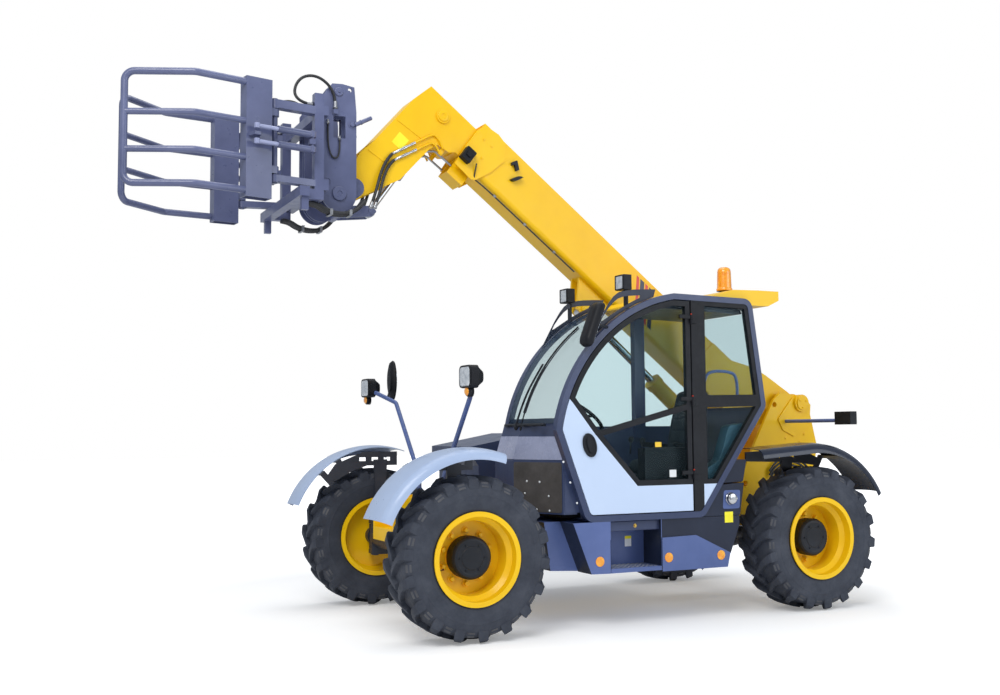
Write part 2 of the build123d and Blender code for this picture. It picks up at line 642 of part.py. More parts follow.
def cab_frame():
    """Tubular side rings, left and right, and the rails that join them."""
    ring = cab_outline() - cab_opening()
    left = along_y(ring, CAB_LEFT - CAB_POST, CAB_LEFT)
    right = along_y(ring, CAB_RIGHT, CAB_RIGHT + CAB_POST)
    body = left + right
    inner0, inner1 = CAB_RIGHT + CAB_POST - 5, CAB_LEFT - CAB_POST + 5
    for x, z in ((CAB_REAR_X + 162, ROOF_TOP_Z - 146), (-960, ROOF_TOP_Z - 106),
                 (CAB_REAR_X + 62, 1680), (55, 1540)):
        body += block(x - 25, x + 25, inner0, inner1, z - 20, z + 20)
    lower = outline([(CAB_REAR_X + 632, 800), (-150, 800), (90, 1440), (40, 1500), (CAB_REAR_X + 32, 1500)])
    right_wall = along_y(lower & cab_opening(), CAB_RIGHT + 10, CAB_RIGHT + 26)
    x = B_POST_X
    post = cab_opening() & outline([(x - 51, 1400), (x + 49, 1400), (x + 49, CAB_ABOVE), (x - 51, CAB_ABOVE)])
    return body + right_wall + along_y(post, CAB_RIGHT, CAB_RIGHT + CAB_POST)


def cab_shell():
    """Floor, rear wall, front cowl and the lower side wall behind the door."""
    y0, y1 = CAB_RIGHT + CAB_POST, CAB_LEFT - CAB_POST
    strip = cab_outline() - offset(cab_outline(), -16)
    rear = strip & outline([(CAB_REAR_X + 662, 700), (CAB_REAR_X - 88, 700), (CAB_REAR_X - 88, 1650),
                            (CAB_REAR_X + 52, 1650)])
    floor = outline([(CAB_REAR_X + 622, 790), (-100, 790), (-100, 812), (CAB_REAR_X + 622, 812)])
    body = along_y(rear, y0, y1) + along_y(floor & cab_outline(), y0, y1)
    nose_low = [(-120, y1), (30, y1), (225, 640), (225, y0), (-120, y0)]
    nose_low_in = [(-130, y1 + 5), (24, y1 - 12), (211, 634), (211, y0 + 12), (-130, y0 + 12)]
    nose_top = [(-120, y1), (100, y1), (140, 640), (140, y0), (-120, y0)]
    nose_top_in = [(-130, y1 + 5), (90, y1 - 12), (126, 634), (126, y0 + 12), (-130, y0 + 12)]
    level = [(nose_low, 850), (nose_low, 1240), (nose_top, 1520)]
    core = [(nose_low_in, 840), (nose_low_in, 1240), (nose_top_in, 1530)]
    body += loft([Plane.XY.offset(z) * outline(p) for p, z in level], ruled=True)
    body -= loft([Plane.XY.offset(z) * outline(p) for p, z in core], ruled=True)
    sill = quarter_face() - above_sill()
    return body + along_y(sill, CAB_LEFT - 4 - DOOR_THICKNESS, CAB_LEFT - 4)


def windscreen():
    """Curved glass that follows the brow, between the side rings."""
    strip = cab_outline() - offset(cab_outline(), -GLASS)
    front = strip & outline([(-640, CAB_ABOVE), (400, CAB_ABOVE), (400, 1520), (-500, 1520)])
    return along_y(front, CAB_RIGHT + CAB_POST, CAB_LEFT - CAB_POST)


def cab_windows():
    """Fixed glass: the quarter panes, the right side and the rear."""
    y1 = CAB_LEFT - 18
    panes = along_y(quarter_panes(), y1 - GLASS, y1)
    upper = outline([(300, 1500), (-1900, 1500), (-1900, CAB_ABOVE), (300, CAB_ABOVE)])
    right = cab_opening() & upper
    x = B_POST_X
    right -= outline([(x - 51, 1400), (x + 49, 1400), (x + 49, CAB_ABOVE), (x - 51, CAB_ABOVE)])
    panes += along_y(right, CAB_RIGHT + 12, CAB_RIGHT + 12 + GLASS)
    strip = offset(cab_outline(), -20) - offset(cab_outline(), -20 - GLASS)
    glass_top = ROOF_TOP_Z - 196
    rear = strip & outline([(CAB_REAR_X + 122, 1700), (CAB_REAR_X - 88, 1700),
                            (CAB_REAR_X - 88, glass_top), (CAB_REAR_X + 212, glass_top)])
    return panes + along_y(rear, CAB_RIGHT + CAB_POST, CAB_LEFT - CAB_POST)


def roof_panel():
    """Roof skin with a tail that overhangs the rear window."""
    y0, y1 = CAB_RIGHT + 30, CAB_LEFT - 50
    skin = cab_outline() - offset(cab_outline(), -14)
    skin &= outline([(-640, ROOF_TOP_Z - 296), (-640, CAB_ABOVE), (CAB_REAR_X + 92, CAB_ABOVE),
                     (CAB_REAR_X + 92, ROOF_TOP_Z - 118)])
    body = along_y(skin, CAB_RIGHT + CAB_POST, CAB_LEFT - CAB_POST)
    x, top = CAB_REAR_X, ROOF_TOP_Z
    tail = outline([(x + 512, top - 76), (x + 262, top - 6), (x + 12, top), (x - 198, top),
                    (x - 198, top - 76), (x - 88, top - 126), (x + 112, top - 126), (x + 172, top - 91)])
    return body + along_y(tail - cab_outline(), y0, y1)


# ---------------------------------------------------------------- cab fittings
def seat_base():
    x = CAB_REAR_X
    return along_y(outline([(x + 662, 812), (x + 912, 812), (x + 912, 1110), (x + 482, 1110),
                            (x + 482, 1060)]), 490, 920)


def seat():
    """Cushion and backrest of the driver's seat."""
    cushion = fillet((Pos(CAB_REAR_X + 702, 705, 1165) * Box(480, 480, 110)).edges(), 30)
    back = fillet((Pos(CAB_REAR_X + 442, 705, 1520) * Rot(0, -12, 0) * Box(110, 460, 640)).edges(), 30)
    return cushion + back


def controls():
    """Steering column with its wheel, on a dash that stands on the floor."""
    dash = along_y(outline([(-40, 812), (60, 1300), (-30, 1440), (-160, 1400), (-200, 812)]), 480, 930)
    column = rod((-120, 705, 1300), (-345, 705, 1578), 32)
    rim = Pos(-345, 705, 1578) * Rot(0, -39, 0) * Torus(190, 14)
    hub = Pos(-345, 705, 1578) * Rot(0, -39, 0) * Cylinder(40, 24)
    spokes = [Pos(-345, 705, 1578) * Rot(0, -39, 0) * Rot(0, 0, a) * Pos(95, 0, 0) * Box(190, 22, 10)
              for a in (90, 210, 330)]
    console = block(CAB_REAR_X + 562, CAB_REAR_X + 1112, 960, 1060, 812, 1330)
    return dash + column + rim + hub + spokes + console


# ---------------------------------------------------------------- boom
def box_section(half, top, bottom, corner):
    """Boom section drawn in Y and W: square above, rounded below."""
    face = outline([(-half, bottom), (half, bottom), (half, top), (-half, top)])
    low = [v for v in face.vertices() if abs(v.Y - bottom) < 1]
    return fillet(low, corner)


def along_boom(face, u0, u1):
    """Extrude a section drawn in Y and W from u0 to u1 along the boom."""
    place = BOOM * Pos(u0, 0, 0)
    section = Plane(origin=place.position, x_dir=(0, 1, 0), z_dir=BOOM.x_dir)
    return extrude(section * face, u1 - u0)


def outer_boom():
    """Outer section: rear plates round the pivot, hollow box, front collar and cylinder lugs."""
    half, wall = BOOM_HALF_WIDTH, BOOM_WALL
    top, bottom = BOOM_TOP_W, BOOM_BOTTOM_W
    box = along_boom(box_section(half, top, bottom, BOOM_CORNER), 330, BOOM_FRONT_U)
    core = along_boom(box_section(half - wall, top - wall, bottom + wall, BOOM_CORNER - wall),
                      350, BOOM_FRONT_U + 20)
    body = box - core
    hump = [(-80, -70), (-80, 10), (-20, 50), (128, 39), (412, 5), (567, -29)]
    heel = [(320, bottom), (60, -250)]
    cheek = hump + [(792, top), (1040, top), (1100, bottom + 60), (800, bottom)] + heel
    web = hump + [(600, top - 20), (600, bottom + 20)] + heel
    collar = [(3570, -270), (3650, top - 12), (3740, top + 5), (3881, top - 20), (3901, -225),
              (3901, -393), (3885, -590), (3670, -585), (3600, -420)]
    eye = LIFT_EYE_U
    lug = [(eye - 190, bottom + 5), (eye + 220, bottom + 5), (eye + 70, LIFT_EYE_W - 55),
           (eye - 70, LIFT_EYE_W - 55)]
    for side, _ in SIDES:
        y = side * half
        body += along_y(outline(cheek), min(y, y + side * 12), max(y, y + side * 12), BOOM)
        body += along_y(outline(web), min(y, y - side * 24), max(y, y - side * 24), BOOM)
        body += along_y(outline(collar), min(y, y + side * 14), max(y, y + side * 14), BOOM)
        y = side * (LIFT_EYE_HALF + MOVE_GAP)
        body += along_y(outline(lug), min(y, y + side * 25), max(y, y + side * 25), BOOM)
        body += pin_y(LIFT_EYE_U, LIFT_EYE_W, 45, min(y, y + side * 40), max(y, y + side * 40), BOOM)
    lid = outline([(-half, top - 14), (half, top - 14), (half, top), (-half, top)])
    body += along_boom(lid, 560, 800)
    low, high = INNER_BOTTOM_W - RUN_GAP, INNER_TOP_W + RUN_GAP
    slide = INNER_HALF_WIDTH + RUN_GAP
    pads = ((-70, 70, bottom + wall - 1, low), (-70, 70, high, top - wall + 1),
            (slide, half - wall + 1, -440, -280), (wall - 1 - half, -slide, -440, -280))
    for y0, y1, w0, w1 in pads:
        body += along_boom(outline([(y0, w0), (y1, w0), (y1, w1), (y0, w1)]), 3770, 3870)
    tray = outline([(-90, -665), (90, -665), (90, bottom + 5), (-90, bottom + 5)])
    tray_core = outline([(-82, -657), (82, -657), (82, bottom + 1), (-82, bottom + 1)])
    body += along_boom(tray, 3715, 3880) - along_boom(tray_core, 3700, 3900)
    body += pin_y(3780, top + 30, 38, -8, 8, BOOM) - pin_y(3780, top + 36, 16, -20, 20, BOOM)
    body += pin_y(0, 0, 88, -half, half, BOOM)
    return body - pin_y(0, 0, BOOM_PIN_RADIUS + RUN_GAP, -300, 300, BOOM)


def inner_boom():
    """Telescoping section with the cranked nose that carries the tool."""
    half, wall = INNER_HALF_WIDTH, BOOM_WALL
    box = along_boom(box_section(half, INNER_TOP_W, INNER_BOTTOM_W, 30), INNER_REAR_U, INNER_FRONT_U)
    core = along_boom(box_section(half - wall, INNER_TOP_W - wall, INNER_BOTTOM_W + wall, 20),
                      INNER_REAR_U - 10, INNER_FRONT_U - 12)
    body = box - core
    side_outline = [
        (3897, INNER_TOP_W), (4414, INNER_TOP_W), (4436, -311), (4458, -410), (4490, -900),
        (4515, -1066), (4470, -1330), (4420, -1400), (4315, -1405), (4290, -1330), (4140, -1005),
        (4110, -640), (4080, -560), (3968, -540), (3930, INNER_BOTTOM_W), (3897, INNER_BOTTOM_W),
    ]
    half = NOSE_HALF_WIDTH
    for side, _ in SIDES:
        y = side * half
        body += along_y(outline(side_outline), min(y, y - side * NOSE_PLATE),
                        max(y, y - side * NOSE_PLATE), BOOM)
        body += pin_y(TILT_BASE_U, TILT_BASE_W, 58, min(y, y + side * 14), max(y, y + side * 14), BOOM)
        body += pin_y(TILT_PIVOT_U, TILT_PIVOT_W, 72, min(y, y - side * 30), max(y, y - side * 30),
                      BOOM)
    front = [(3900, INNER_TOP_W), (4414, INNER_TOP_W), (4436, -311), (4458, -410), (4490, -900),
             (4478, -900), (4446, -412), (4424, -315), (4404, INNER_TOP_W - 12), (3900, INNER_TOP_W - 12)]
    body += along_y(outline(front), -half + 1, half - 1, BOOM)
    back = [(3935, INNER_BOTTOM_W), (3968, -540), (4080, -560), (4110, -640), (4122, -640),
            (4090, -548), (3975, -528), (3945, INNER_BOTTOM_W + 2)]
    body += along_y(outline(back), -half + 1, half - 1, BOOM)
    body += pin_y(TILT_BASE_U, TILT_BASE_W, TILT_BASE_PIN, -half - 14, half + 14, BOOM)
    for y in (-92, 92):
        body += along_boom(outline([(y - 14, -606), (y + 14, -606), (y + 14, -543), (y - 14, -543)]),
                           4000, 4036)
    body -= nose_pipes()
    return body - pin_y(TILT_PIVOT_U, TILT_PIVOT_W, TILT_PIN_RADIUS + RUN_GAP, -300, 300, BOOM)


def lift_ends():
    """World X, Z of the lift cylinder's base pin and of its rod's eye at rest."""
    return (LIFT_BASE_X, LIFT_BASE_Z), boom_point(LIFT_EYE_U, LIFT_EYE_W)


def cylinder_barrel(base, eye, radius, bore, length, eye_radius, pin_radius, half):
    """Barrel from its base eye towards the rod's eye, open at the gland."""
    (x0, z0), (x1, z1) = base, eye
    span = ((x1 - x0) ** 2 + (z1 - z0) ** 2) ** 0.5
    dx, dz = (x1 - x0) / span, (z1 - z0) / span
    start = (x0 + dx * (eye_radius + 38), 0, z0 + dz * (eye_radius + 38))
    end = (x0 + dx * length, 0, z0 + dz * length)
    inner = (x0 + dx * (eye_radius + 55), 0, z0 + dz * (eye_radius + 55))
    body = rod(start, end, radius) + rod((x0, 0, z0), start, half - 2)
    gland = (x0 + dx * (length - 60), 0, z0 + dz * (length - 60))
    body += rod(gland, end, radius + 8)
    body += pin_y(x0, z0, eye_radius, -half, half)
    body -= rod(inner, (x0 + dx * (length + 5), 0, z0 + dz * (length + 5)), bore)
    return body - pin_y(x0, z0, pin_radius + RUN_GAP, -half - 20, half + 20)


def cylinder_rod(base, eye, radius, start_length, eye_radius, half):
    """Rod that slides in the barrel, ending in a solid eye."""
    (x0, z0), (x1, z1) = base, eye
    span = ((x1 - x0) ** 2 + (z1 - z0) ** 2) ** 0.5
    dx, dz = (x1 - x0) / span, (z1 - z0) / span
    start = (x0 + dx * start_length, 0, z0 + dz * start_length)
    body = rod(start, (x1, 0, z1), radius)
    return body + pin_y(x1, z1, eye_radius, -half, half)


# ---------------------------------------------------------------- carriage
def carriage():
    """Tool carriage: upright plates each side of the nose, its pivot pin and the tilt lever."""
    pivot = boom_point(TILT_PIVOT_U, TILT_PIVOT_W)
    front = CARRIAGE_FRONT_X
    plate = outline([(1368, 3262), (front, 3262), (front, 3990), (1560, 4105), (1480, 4110),
                     (1385, 4095), (1368, 3900)])
    plate += Pos(1504, 3262) * Circle(136)
    plate -= outline([(1455, 3690), (1550, 3690), (1550, 3860), (1455, 3860)])
    plate -= Pos(1420, 4070) * Circle(16)
    lobe = Pos(*pivot) * Circle(75)
    lobe += outline([(pivot[0] - 40, pivot[1] - 63), (1500, 3126), (1600, 3300), (1500, 3480),
                     (pivot[0] - 20, pivot[1] + 72)])
    body = pin_y(*pivot, TILT_PIN_RADIUS, -CARRIAGE_INNER - 30, CARRIAGE_INNER + 30)
    body += block(front - 14, front, -308, 308, 3290, 3420)
    body += block(front - 14, front, -308, 308, 3800, 3920)
    body += pin_y(1400, 3180, 40, -210, 210)
    lever = outline([(1400, 3130), (1440, 3180), (1400, 3226), (1160, 3242), (1118, 3200),
                     (1160, 3158)], 12)
    for side, _ in SIDES:
        for y in (CARRIAGE_INNER, 192, 292):
            y0 = min(side * y, side * (y + CARRIAGE_PLATE))
            body += along_y(plate if y > CARRIAGE_INNER else plate + lobe, y0, y0 + CARRIAGE_PLATE)
        body += along_y(lever, min(side * 50, side * 70), max(side * 50, side * 70))
        body += pin_y(*TILT_EYE, 26, min(side * 50, side * 76), max(side * 50, side * 76))
        body += pin_y(1385, 3715, 22, min(side * 200, side * 300), max(side * 200, side * 300))
        y0, y1 = side * 308, side * 340
        body += block(1522, 1558, min(y0, y1), max(y0, y1), 3866, 3900)
    return body


# ---------------------------------------------------------------- bale clamp
def clamp_frame():
    """Upright frame hooked on the carriage, with the brackets that hold the arms' pins."""
    px, py = CLAMP_PIN
    back = CARRIAGE_FRONT_X
    body = block(back, back + 76, -485, 485, 3240, 3320) + block(back, back + 76, -485, 485, 3800, 3870)
    body += block(1810, 1882, -580, 580, 3167, 3239)
    for side, _ in SIDES:
        y = side * POST_Y_CLAMP
        body += block(1677, 1747, y - 35, y + 35, 3240, 3960)
        body += block(1677, 1846, y - 35, y + 35, 3167, 3240)
        body += block(1810, 1860, side * 530 - 22, side * 530 + 22, 3072, 3167)
        arm = outline([(1740, side * 415), (1740, side * 485), (px - 5, side * (py + 36)),
                       (px + 5, side * (py - 36))])
        arm += Pos(px, side * py) * Circle(36)
        arm -= Pos(px, side * py) * Circle(CLAMP_PIN_RADIUS + RUN_GAP)
        body += along_z(arm, 3262, 3310) + along_z(arm, 3800, 3860)
        bx, by = RAM_BASE
        lug = outline([(1740, side * 440), (1740, side * 485), (bx - 20, side * (by + 20)),
                       (bx + 22, side * (by + 18)), (bx + 22, side * (by - 24))])
        mid = sum(RAM_HEIGHTS) / 2
        body += along_z(lug, mid - 18, mid + 18)
        body += Pos(bx, side * by, mid) * Cylinder(14, 170)
    return body


def on_arm(shape, side):
    """Place an arm's piece, drawn at its pin with +X forward and +Y outboard."""
    turned = Rot(0, 0, ARM_YAW[side]) * shape
    placed = Pos(*CLAMP_PIN, 0) * turned
    return placed if side > 0 else mirrored(placed)


def clamp_arm(side):
    """Box with its pin, and the loop of bent tube that it carries."""
    x0, x1 = ARM_BOX
    half = ARM_BOX_HALF
    z0, z1 = CLAMP_BOTTOM_Z, CLAMP_TOP_Z
    body = block(x0, x1, -half, half, z0, z1) - block(x0 + 8, x1 - 8, -half + 8, half - 8, z0 - 5, z1 - 8)
    body += Pos(0, 0, 3560) * Cylinder(CLAMP_PIN_RADIUS, 620)
    for z in (3318, 3738):
        body += block(0, x0, -30, 30, z, z + 54) + Pos(0, 0, z + 27) * Cylinder(30, 54)
    y = half - ARM_TUBE_RADIUS
    r = ARM_TUBE_RADIUS
    knee, tip = (613, y), (1006, y - 271)
    top, low = 3947, 3170
    body += pipe([(x1 - 4, y, top), (*knee, top), (*tip, top), (*tip, low), (*knee, low),
                  (x1 - 4, y, low)], r, 70)
    for z in (3665, 3405):
        body += pipe([(x1 - 4, y, z), (*knee, z), (*tip, z)], r - 2, 70)
    ex, ey = RAM_EYE
    mid = sum(RAM_HEIGHTS) / 2
    lug = outline([(ex - 50, half), (ex + 40, half), (ex + 22, ey + 16), (ex - 22, ey + 16)])
    body += along_z(lug, mid - 12, mid + 12)
    return on_arm(body, side)


def ram_eye(side):
    """Where an arm's rams end, seen from above on the left."""
    turn = radians(ARM_YAW[side])
    ex, ey = RAM_EYE
    return (CLAMP_PIN[0] + ex * cos(turn) - ey * sin(turn),
            CLAMP_PIN[1] + ex * sin(turn) + ey * cos(turn))


def clamp_ram(side):
    """Barrels and rods of the two rams that swing an arm."""
    x0, y0 = RAM_BASE
    x1, y1 = ram_eye(side)
    span = ((x1 - x0) ** 2 + (y1 - y0) ** 2) ** 0.5
    dx, dy = (x1 - x0) / span, (y1 - y0) / span
    open_x, open_y = ram_eye(1)
    rod_length = ((open_x - x0) ** 2 + (open_y - y0) ** 2) ** 0.5 - RAM_HIDDEN
    tail = span - rod_length
    barrels, rods = Part(), Part()
    for z in RAM_HEIGHTS:
        tube = rod((x0 + dx * 22, y0 + dy * 22, z),
                   (x0 + dx * RAM_BARREL_LENGTH, y0 + dy * RAM_BARREL_LENGTH, z), 25)
        tube += Pos(x0, y0, z) * Cylinder(28, 40)
        tube -= rod((x0 + dx * 50, y0 + dy * 50, z),
                    (x0 + dx * 300, y0 + dy * 300, z), 15 + RUN_GAP)
        barrels += tube - Pos(x0, y0, z) * Cylinder(14 + RUN_GAP, 60)
        bar = rod((x0 + dx * tail, y0 + dy * tail, z), (x1, y1, z), 15)
        rods += bar + Pos(x1, y1, z) * Cylinder(20, 36)
    if side < 0:
        return mirrored(barrels), mirrored(rods)
    return barrels, rods


# ---------------------------------------------------------------- pipes and hoses
def nose_pipes():
    """Steel pipes under the boom's nose, one each side of the tilt cylinder."""
    body = Part()
    for side, _ in SIDES:
        points = [(3886, -600), (4060, -605), (4135, -680), (4165, -1000), (4285, -1265)]
        path = [(boom_point(u, w)[0], side * 92, boom_point(u, w)[1]) for u, w in points]
        body += pipe(path, 9, 40)
    return body


def cord(points, radius):
    """Free hose: straight runs joined by arcs as large as the runs allow."""
    runs = [Vector(*b) - Vector(*a) for a, b in zip(points, points[1:])]
    radii = []
    for before, after in zip(runs, runs[1:]):
        turn = radians(before.get_angle(after))
        radii.append(0.45 * min(before.length, after.length) / tan(turn / 2))
    print("cord radii", [round(r) for r in radii])
    path = FilletPolyline(*points, radius=radii)
    return sweep(Plane(origin=path @ 0, z_dir=path % 0) * Circle(radius), path)


def clamp_hose(side):
    """Hose that loops from the carriage over to the clamp's post."""
    points = [(1540, 323, 3900), (1540, 323, 4000), (1600, 335, 4090), (1700, 350, 4135),
              (1805, 375, 4110), (1872, 405, 4030), (1890, 435, 3935), (1822, 450, 3880),
              (1747, 450, 3880)]
    hose = cord(points, HOSE_RADIUS)
    return hose if side > 0 else mirrored(hose)


# ---------------------------------------------------------------- lamps and mirrors
def lamp_stalks():
    """Bent tubes for the head lamps and straight ones for the tail lamps."""
    body = Part()
    for side, _ in SIDES:
        root = side * (FRAME_HALF_WIDTH + 18)
        body += pipe([(635, root, 850), (635, root, 1100), (640, side * 776, 1719),
                      (770, side * 1020, 1828)], 18, 60)
        foot = (-2768, side * (FRAME_HALF_WIDTH + 14), TAIL_LAMP_Z)
        body += rod(foot, (-2768, side * 905, TAIL_LAMP_Z), 16)
    return body - headlamps()


def headlamps():
    """Rounded oblong lamps, each with a tapered back on its stalk."""
    body = Part()
    for side, _ in SIDES:
        front = Plane(origin=(LAMP[0], side * LAMP[1], LAMP[2]), x_dir=(0, 1, 0), z_dir=(1, 0, 0))
        rim = extrude(front.offset(-62) * RectangleRounded(200, 164, 46), 62)
        back = loft([front.offset(-62) * RectangleRounded(188, 152, 42),
                     front.offset(-118) * RectangleRounded(96, 84, 30)])
        body += rim + back
    return body


def tail_lamps():
    body = Part()
    for side, _ in SIDES:
        y0, y1 = side * 905, side * 1095
        body += block(-2810, -2740, min(y0, y1), max(y0, y1), TAIL_LAMP_Z - 36, TAIL_LAMP_Z + 75)
    return body


def roof_lamps():
    """Square work lamps on upright brackets above the windscreen, and the beacon on the roof's tail."""
    body = Part()
    for x, y, z in WORK_LAMPS:
        body += block(x - 40, x + 30, y - 60, y + 60, z - 58, z + 58)
        stand = outline([(x - 30, z - 300), (x - 18, z - 300), (x - 18, z - 58), (x - 30, z - 58)])
        body += along_y(stand - cab_outline(), y - 25, y + 25)
    x, y, z = BEACON
    body += Pos(x, y, z) * Cylinder(42, 78, align=UPRIGHT)
    body += Pos(x, y, z + 78) * Cylinder(66, 16, align=UPRIGHT)
    lens = Pos(x, y, z + 94) * Cylinder(58, 188, align=UPRIGHT)
    return body + fillet(lens.edges().sort_by(Axis.Z)[-1], 40)


def mirrors():
    """Tall mirrors: one on the cab, one on the right head lamp's stalk."""
    body = Part()
    glass_z = ROOF_TOP_Z - 356
    for x, y, z, high in ((-187, 1205, glass_z, 175), (545, -1075, 1925, 180)):
        face = Plane(origin=(x, y, z), x_dir=(0, 1, 0), z_dir=(1, 0, 0)) * Ellipse(80, high)
        body += extrude(face, 24)
    body += pipe([(-330, CAB_LEFT, glass_z), (-330, 1190, glass_z), (-184, 1200, glass_z)], 12, 26)
    body += pipe([(690, -870, 1761), (640, -960, 1790), (552, -1060, 1830)], 9, 30)
    return body - headlamps() - lamp_stalks()


# ---------------------------------------------------------------- save every piece
lift_base, lift_eye = lift_ends()
tilt_base = boom_point(TILT_BASE_U, TILT_BASE_W)

save(chassis_frame(), "chassis_frame")
save(pins(), "frame_pins")
save(axle(FRONT_AXLE_X), "front_axle")
save(axle(REAR_AXLE_X), "rear_axle")
save(engine_hood(), "engine_hood")
save(engine_block(), "engine_block")
save(right_tank(), "right_tank")
save(side_skirts(), "side_skirts")
save(cab_frame(), "cab_frame")
save(cab_shell(), "cab_shell")
save(quarter_frame(), "quarter_frame")
save(windscreen(), "windscreen")
save(cab_windows(), "cab_windows")
save(roof_panel(), "roof_panel")
save(seat_base(), "seat_base")
save(seat(), "seat")
save(controls(), "controls")
save(door_panel(), "door_panel")
save(door_frame(), "door_frame")
save(door_glass(), "door_glass")
save(lamp_stalks(), "lamp_stalks")
save(headlamps(), "headlamps")
save(tail_lamps(), "tail_lamps")
save(roof_lamps(), "roof_lamps")
save(mirrors(), "mirrors")
save(outer_boom(), "outer_boom")
save(inner_boom(), "inner_boom")
save(nose_pipes(), "nose_pipes")
save(cylinder_barrel(lift_base, lift_eye, LIFT_BARREL_RADIUS, LIFT_ROD_RADIUS + RUN_GAP,
                     LIFT_BARREL_LENGTH, LIFT_EYE_RADIUS, LIFT_PIN_RADIUS, LIFT_EYE_HALF), "lift_barrel")
save(cylinder_rod(lift_base, lift_eye, LIFT_ROD_RADIUS, 720, LIFT_EYE_RADIUS, LIFT_EYE_HALF), "lift_rod")
save(cylinder_barrel(tilt_base, TILT_EYE, TILT_BARREL_RADIUS, TILT_ROD_RADIUS + RUN_GAP,
                     TILT_BARREL_LENGTH, 46, TILT_BASE_PIN, 40), "tilt_barrel")
save(cylinder_rod(tilt_base, TILT_EYE, TILT_ROD_RADIUS, 330, 40, 36), "tilt_rod")
save(carriage(), "carriage")
save(clamp_frame(), "clamp_frame")
for axle_x, end in ((FRONT_AXLE_X, "front"), (REAR_AXLE_X, "rear")):
    save(steer_rod(axle_x), f"{end}_steer_rod")
    for side, hand in SIDES:
        save(knuckle(axle_x, side), f"knuckle_{end}_{hand}")
        save(fender(axle_x, side), f"fender_{end}_{hand}")
        save(at_wheel(tyre(), axle_x, side), f"tyre_{end}_{hand}")
        save(at_wheel(wheel(), axle_x, side), f"wheel_{end}_{hand}")
for side, hand in SIDES:
    barrels, rods = clamp_ram(side)
    save(clamp_hose(side), f"clamp_hose_{hand}")
    save(clamp_arm(side), f"clamp_arm_{hand}")
    save(barrels, f"clamp_barrels_{hand}")
    save(rods, f"clamp_rods_{hand}")
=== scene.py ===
import json
from math import atan2, cos, pi, radians, sin

import bmesh
import bpy
from mathutils import Matrix, Vector


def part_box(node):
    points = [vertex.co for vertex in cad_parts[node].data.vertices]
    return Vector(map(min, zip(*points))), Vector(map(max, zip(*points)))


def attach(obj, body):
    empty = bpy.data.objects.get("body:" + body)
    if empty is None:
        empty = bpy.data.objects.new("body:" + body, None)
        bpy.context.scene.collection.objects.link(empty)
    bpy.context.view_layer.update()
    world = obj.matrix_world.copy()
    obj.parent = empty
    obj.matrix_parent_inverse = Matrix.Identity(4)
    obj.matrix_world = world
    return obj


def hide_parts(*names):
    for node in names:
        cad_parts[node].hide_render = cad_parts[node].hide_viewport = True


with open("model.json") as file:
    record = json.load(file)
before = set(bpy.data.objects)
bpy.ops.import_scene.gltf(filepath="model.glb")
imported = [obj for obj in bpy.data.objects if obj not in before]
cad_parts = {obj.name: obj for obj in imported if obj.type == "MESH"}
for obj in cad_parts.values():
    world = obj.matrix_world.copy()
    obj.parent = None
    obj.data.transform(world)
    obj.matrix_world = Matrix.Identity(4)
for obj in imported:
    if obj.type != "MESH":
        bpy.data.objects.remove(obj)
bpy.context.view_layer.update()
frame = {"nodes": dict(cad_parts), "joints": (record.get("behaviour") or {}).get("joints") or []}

scene = bpy.context.scene
nodes = frame["nodes"]

ENDS = ("front", "rear")
SIDES = ((1, "left"), (-1, "right"))
AHEAD, LEFTWARD, UP = (1, 0, 0), (0, 1, 0), (0, 0, 1)
SLOTS = {}                     # slot of the pieces in each paint


# -------------------- materials
def plug(tree, node, inputs):
    """Each input gets a socket to link from, or a value."""
    for key, value in inputs.items():
        if isinstance(value, bpy.types.NodeSocket):
            tree.links.new(value, node.inputs[key])
        else:
            node.inputs[key].default_value = value


def add_node(tree, kind, inputs, **settings):
    node = tree.nodes.new("ShaderNode" + kind)
    for name, value in settings.items():
        setattr(node, name, value)
    plug(tree, node, inputs)
    return node


def new_material(name):
    mat = bpy.data.materials.new(name)
    mat.use_nodes = True
    tree = mat.node_tree
    tree.nodes.clear()
    shader = add_node(tree, "BsdfPrincipled", {})
    add_node(tree, "OutputMaterial", {0: shader.outputs[0]})
    return mat, tree, shader


def noise(tree, scale, detail=4.0, rough=0.6, stretch=None):
    place = add_node(tree, "TexCoord", {}).outputs["Object"]
    if stretch:
        place = add_node(tree, "Mapping", {0: place, "Scale": stretch}).outputs[0]
    return add_node(tree, "TexNoise", {"Vector": place, "Scale": scale, "Detail": detail,
                                       "Roughness": rough}).outputs["Fac"]


def ramp(tree, source, stops):
    node = add_node(tree, "ValToRGB", {0: source})
    items = node.color_ramp.elements
    while len(items) < len(stops):
        items.new(0.5)
    for item, (place, colour) in zip(items, stops):
        item.position = place
        item.color = (*colour, 1)
    return node.outputs[0]


def grey_range(tree, source, low, high, start=0.3, end=0.7):
    return add_node(tree, "MapRange", {"Value": source, "From Min": start, "From Max": end,
                                       "To Min": low, "To Max": high}).outputs[0]


def surface(name, slot, tone, dark, light, rough, metallic=0.0, coat=0.0, scale=2.0, grain=400.0,
            relief=0.0004, strength=0.25, stretch=None, spec=0.5):
    """Paint, plastic or rubber: its colour drifts between three tones, with a fine grain."""
    mat, tree, shader = new_material(name)
    SLOTS[mat.name] = slot
    colour = ramp(tree, noise(tree, scale, 5.0, 0.62), [(0.3, dark), (0.5, tone), (0.72, light)])
    sheen = grey_range(tree, noise(tree, scale * 9, 3.0, 0.7, stretch), *rough)
    relief_node = add_node(tree, "Bump", {"Strength": strength, "Distance": relief,
                                          "Height": noise(tree, grain, 2.0, 0.5, stretch)})
    plug(tree, shader, {"Base Color": colour, "Roughness": sheen, "Metallic": metallic,
                        "Coat Weight": coat, "Coat Roughness": 0.08, "Specular IOR Level": spec,
                        "Normal": relief_node.outputs[0]})
    return mat


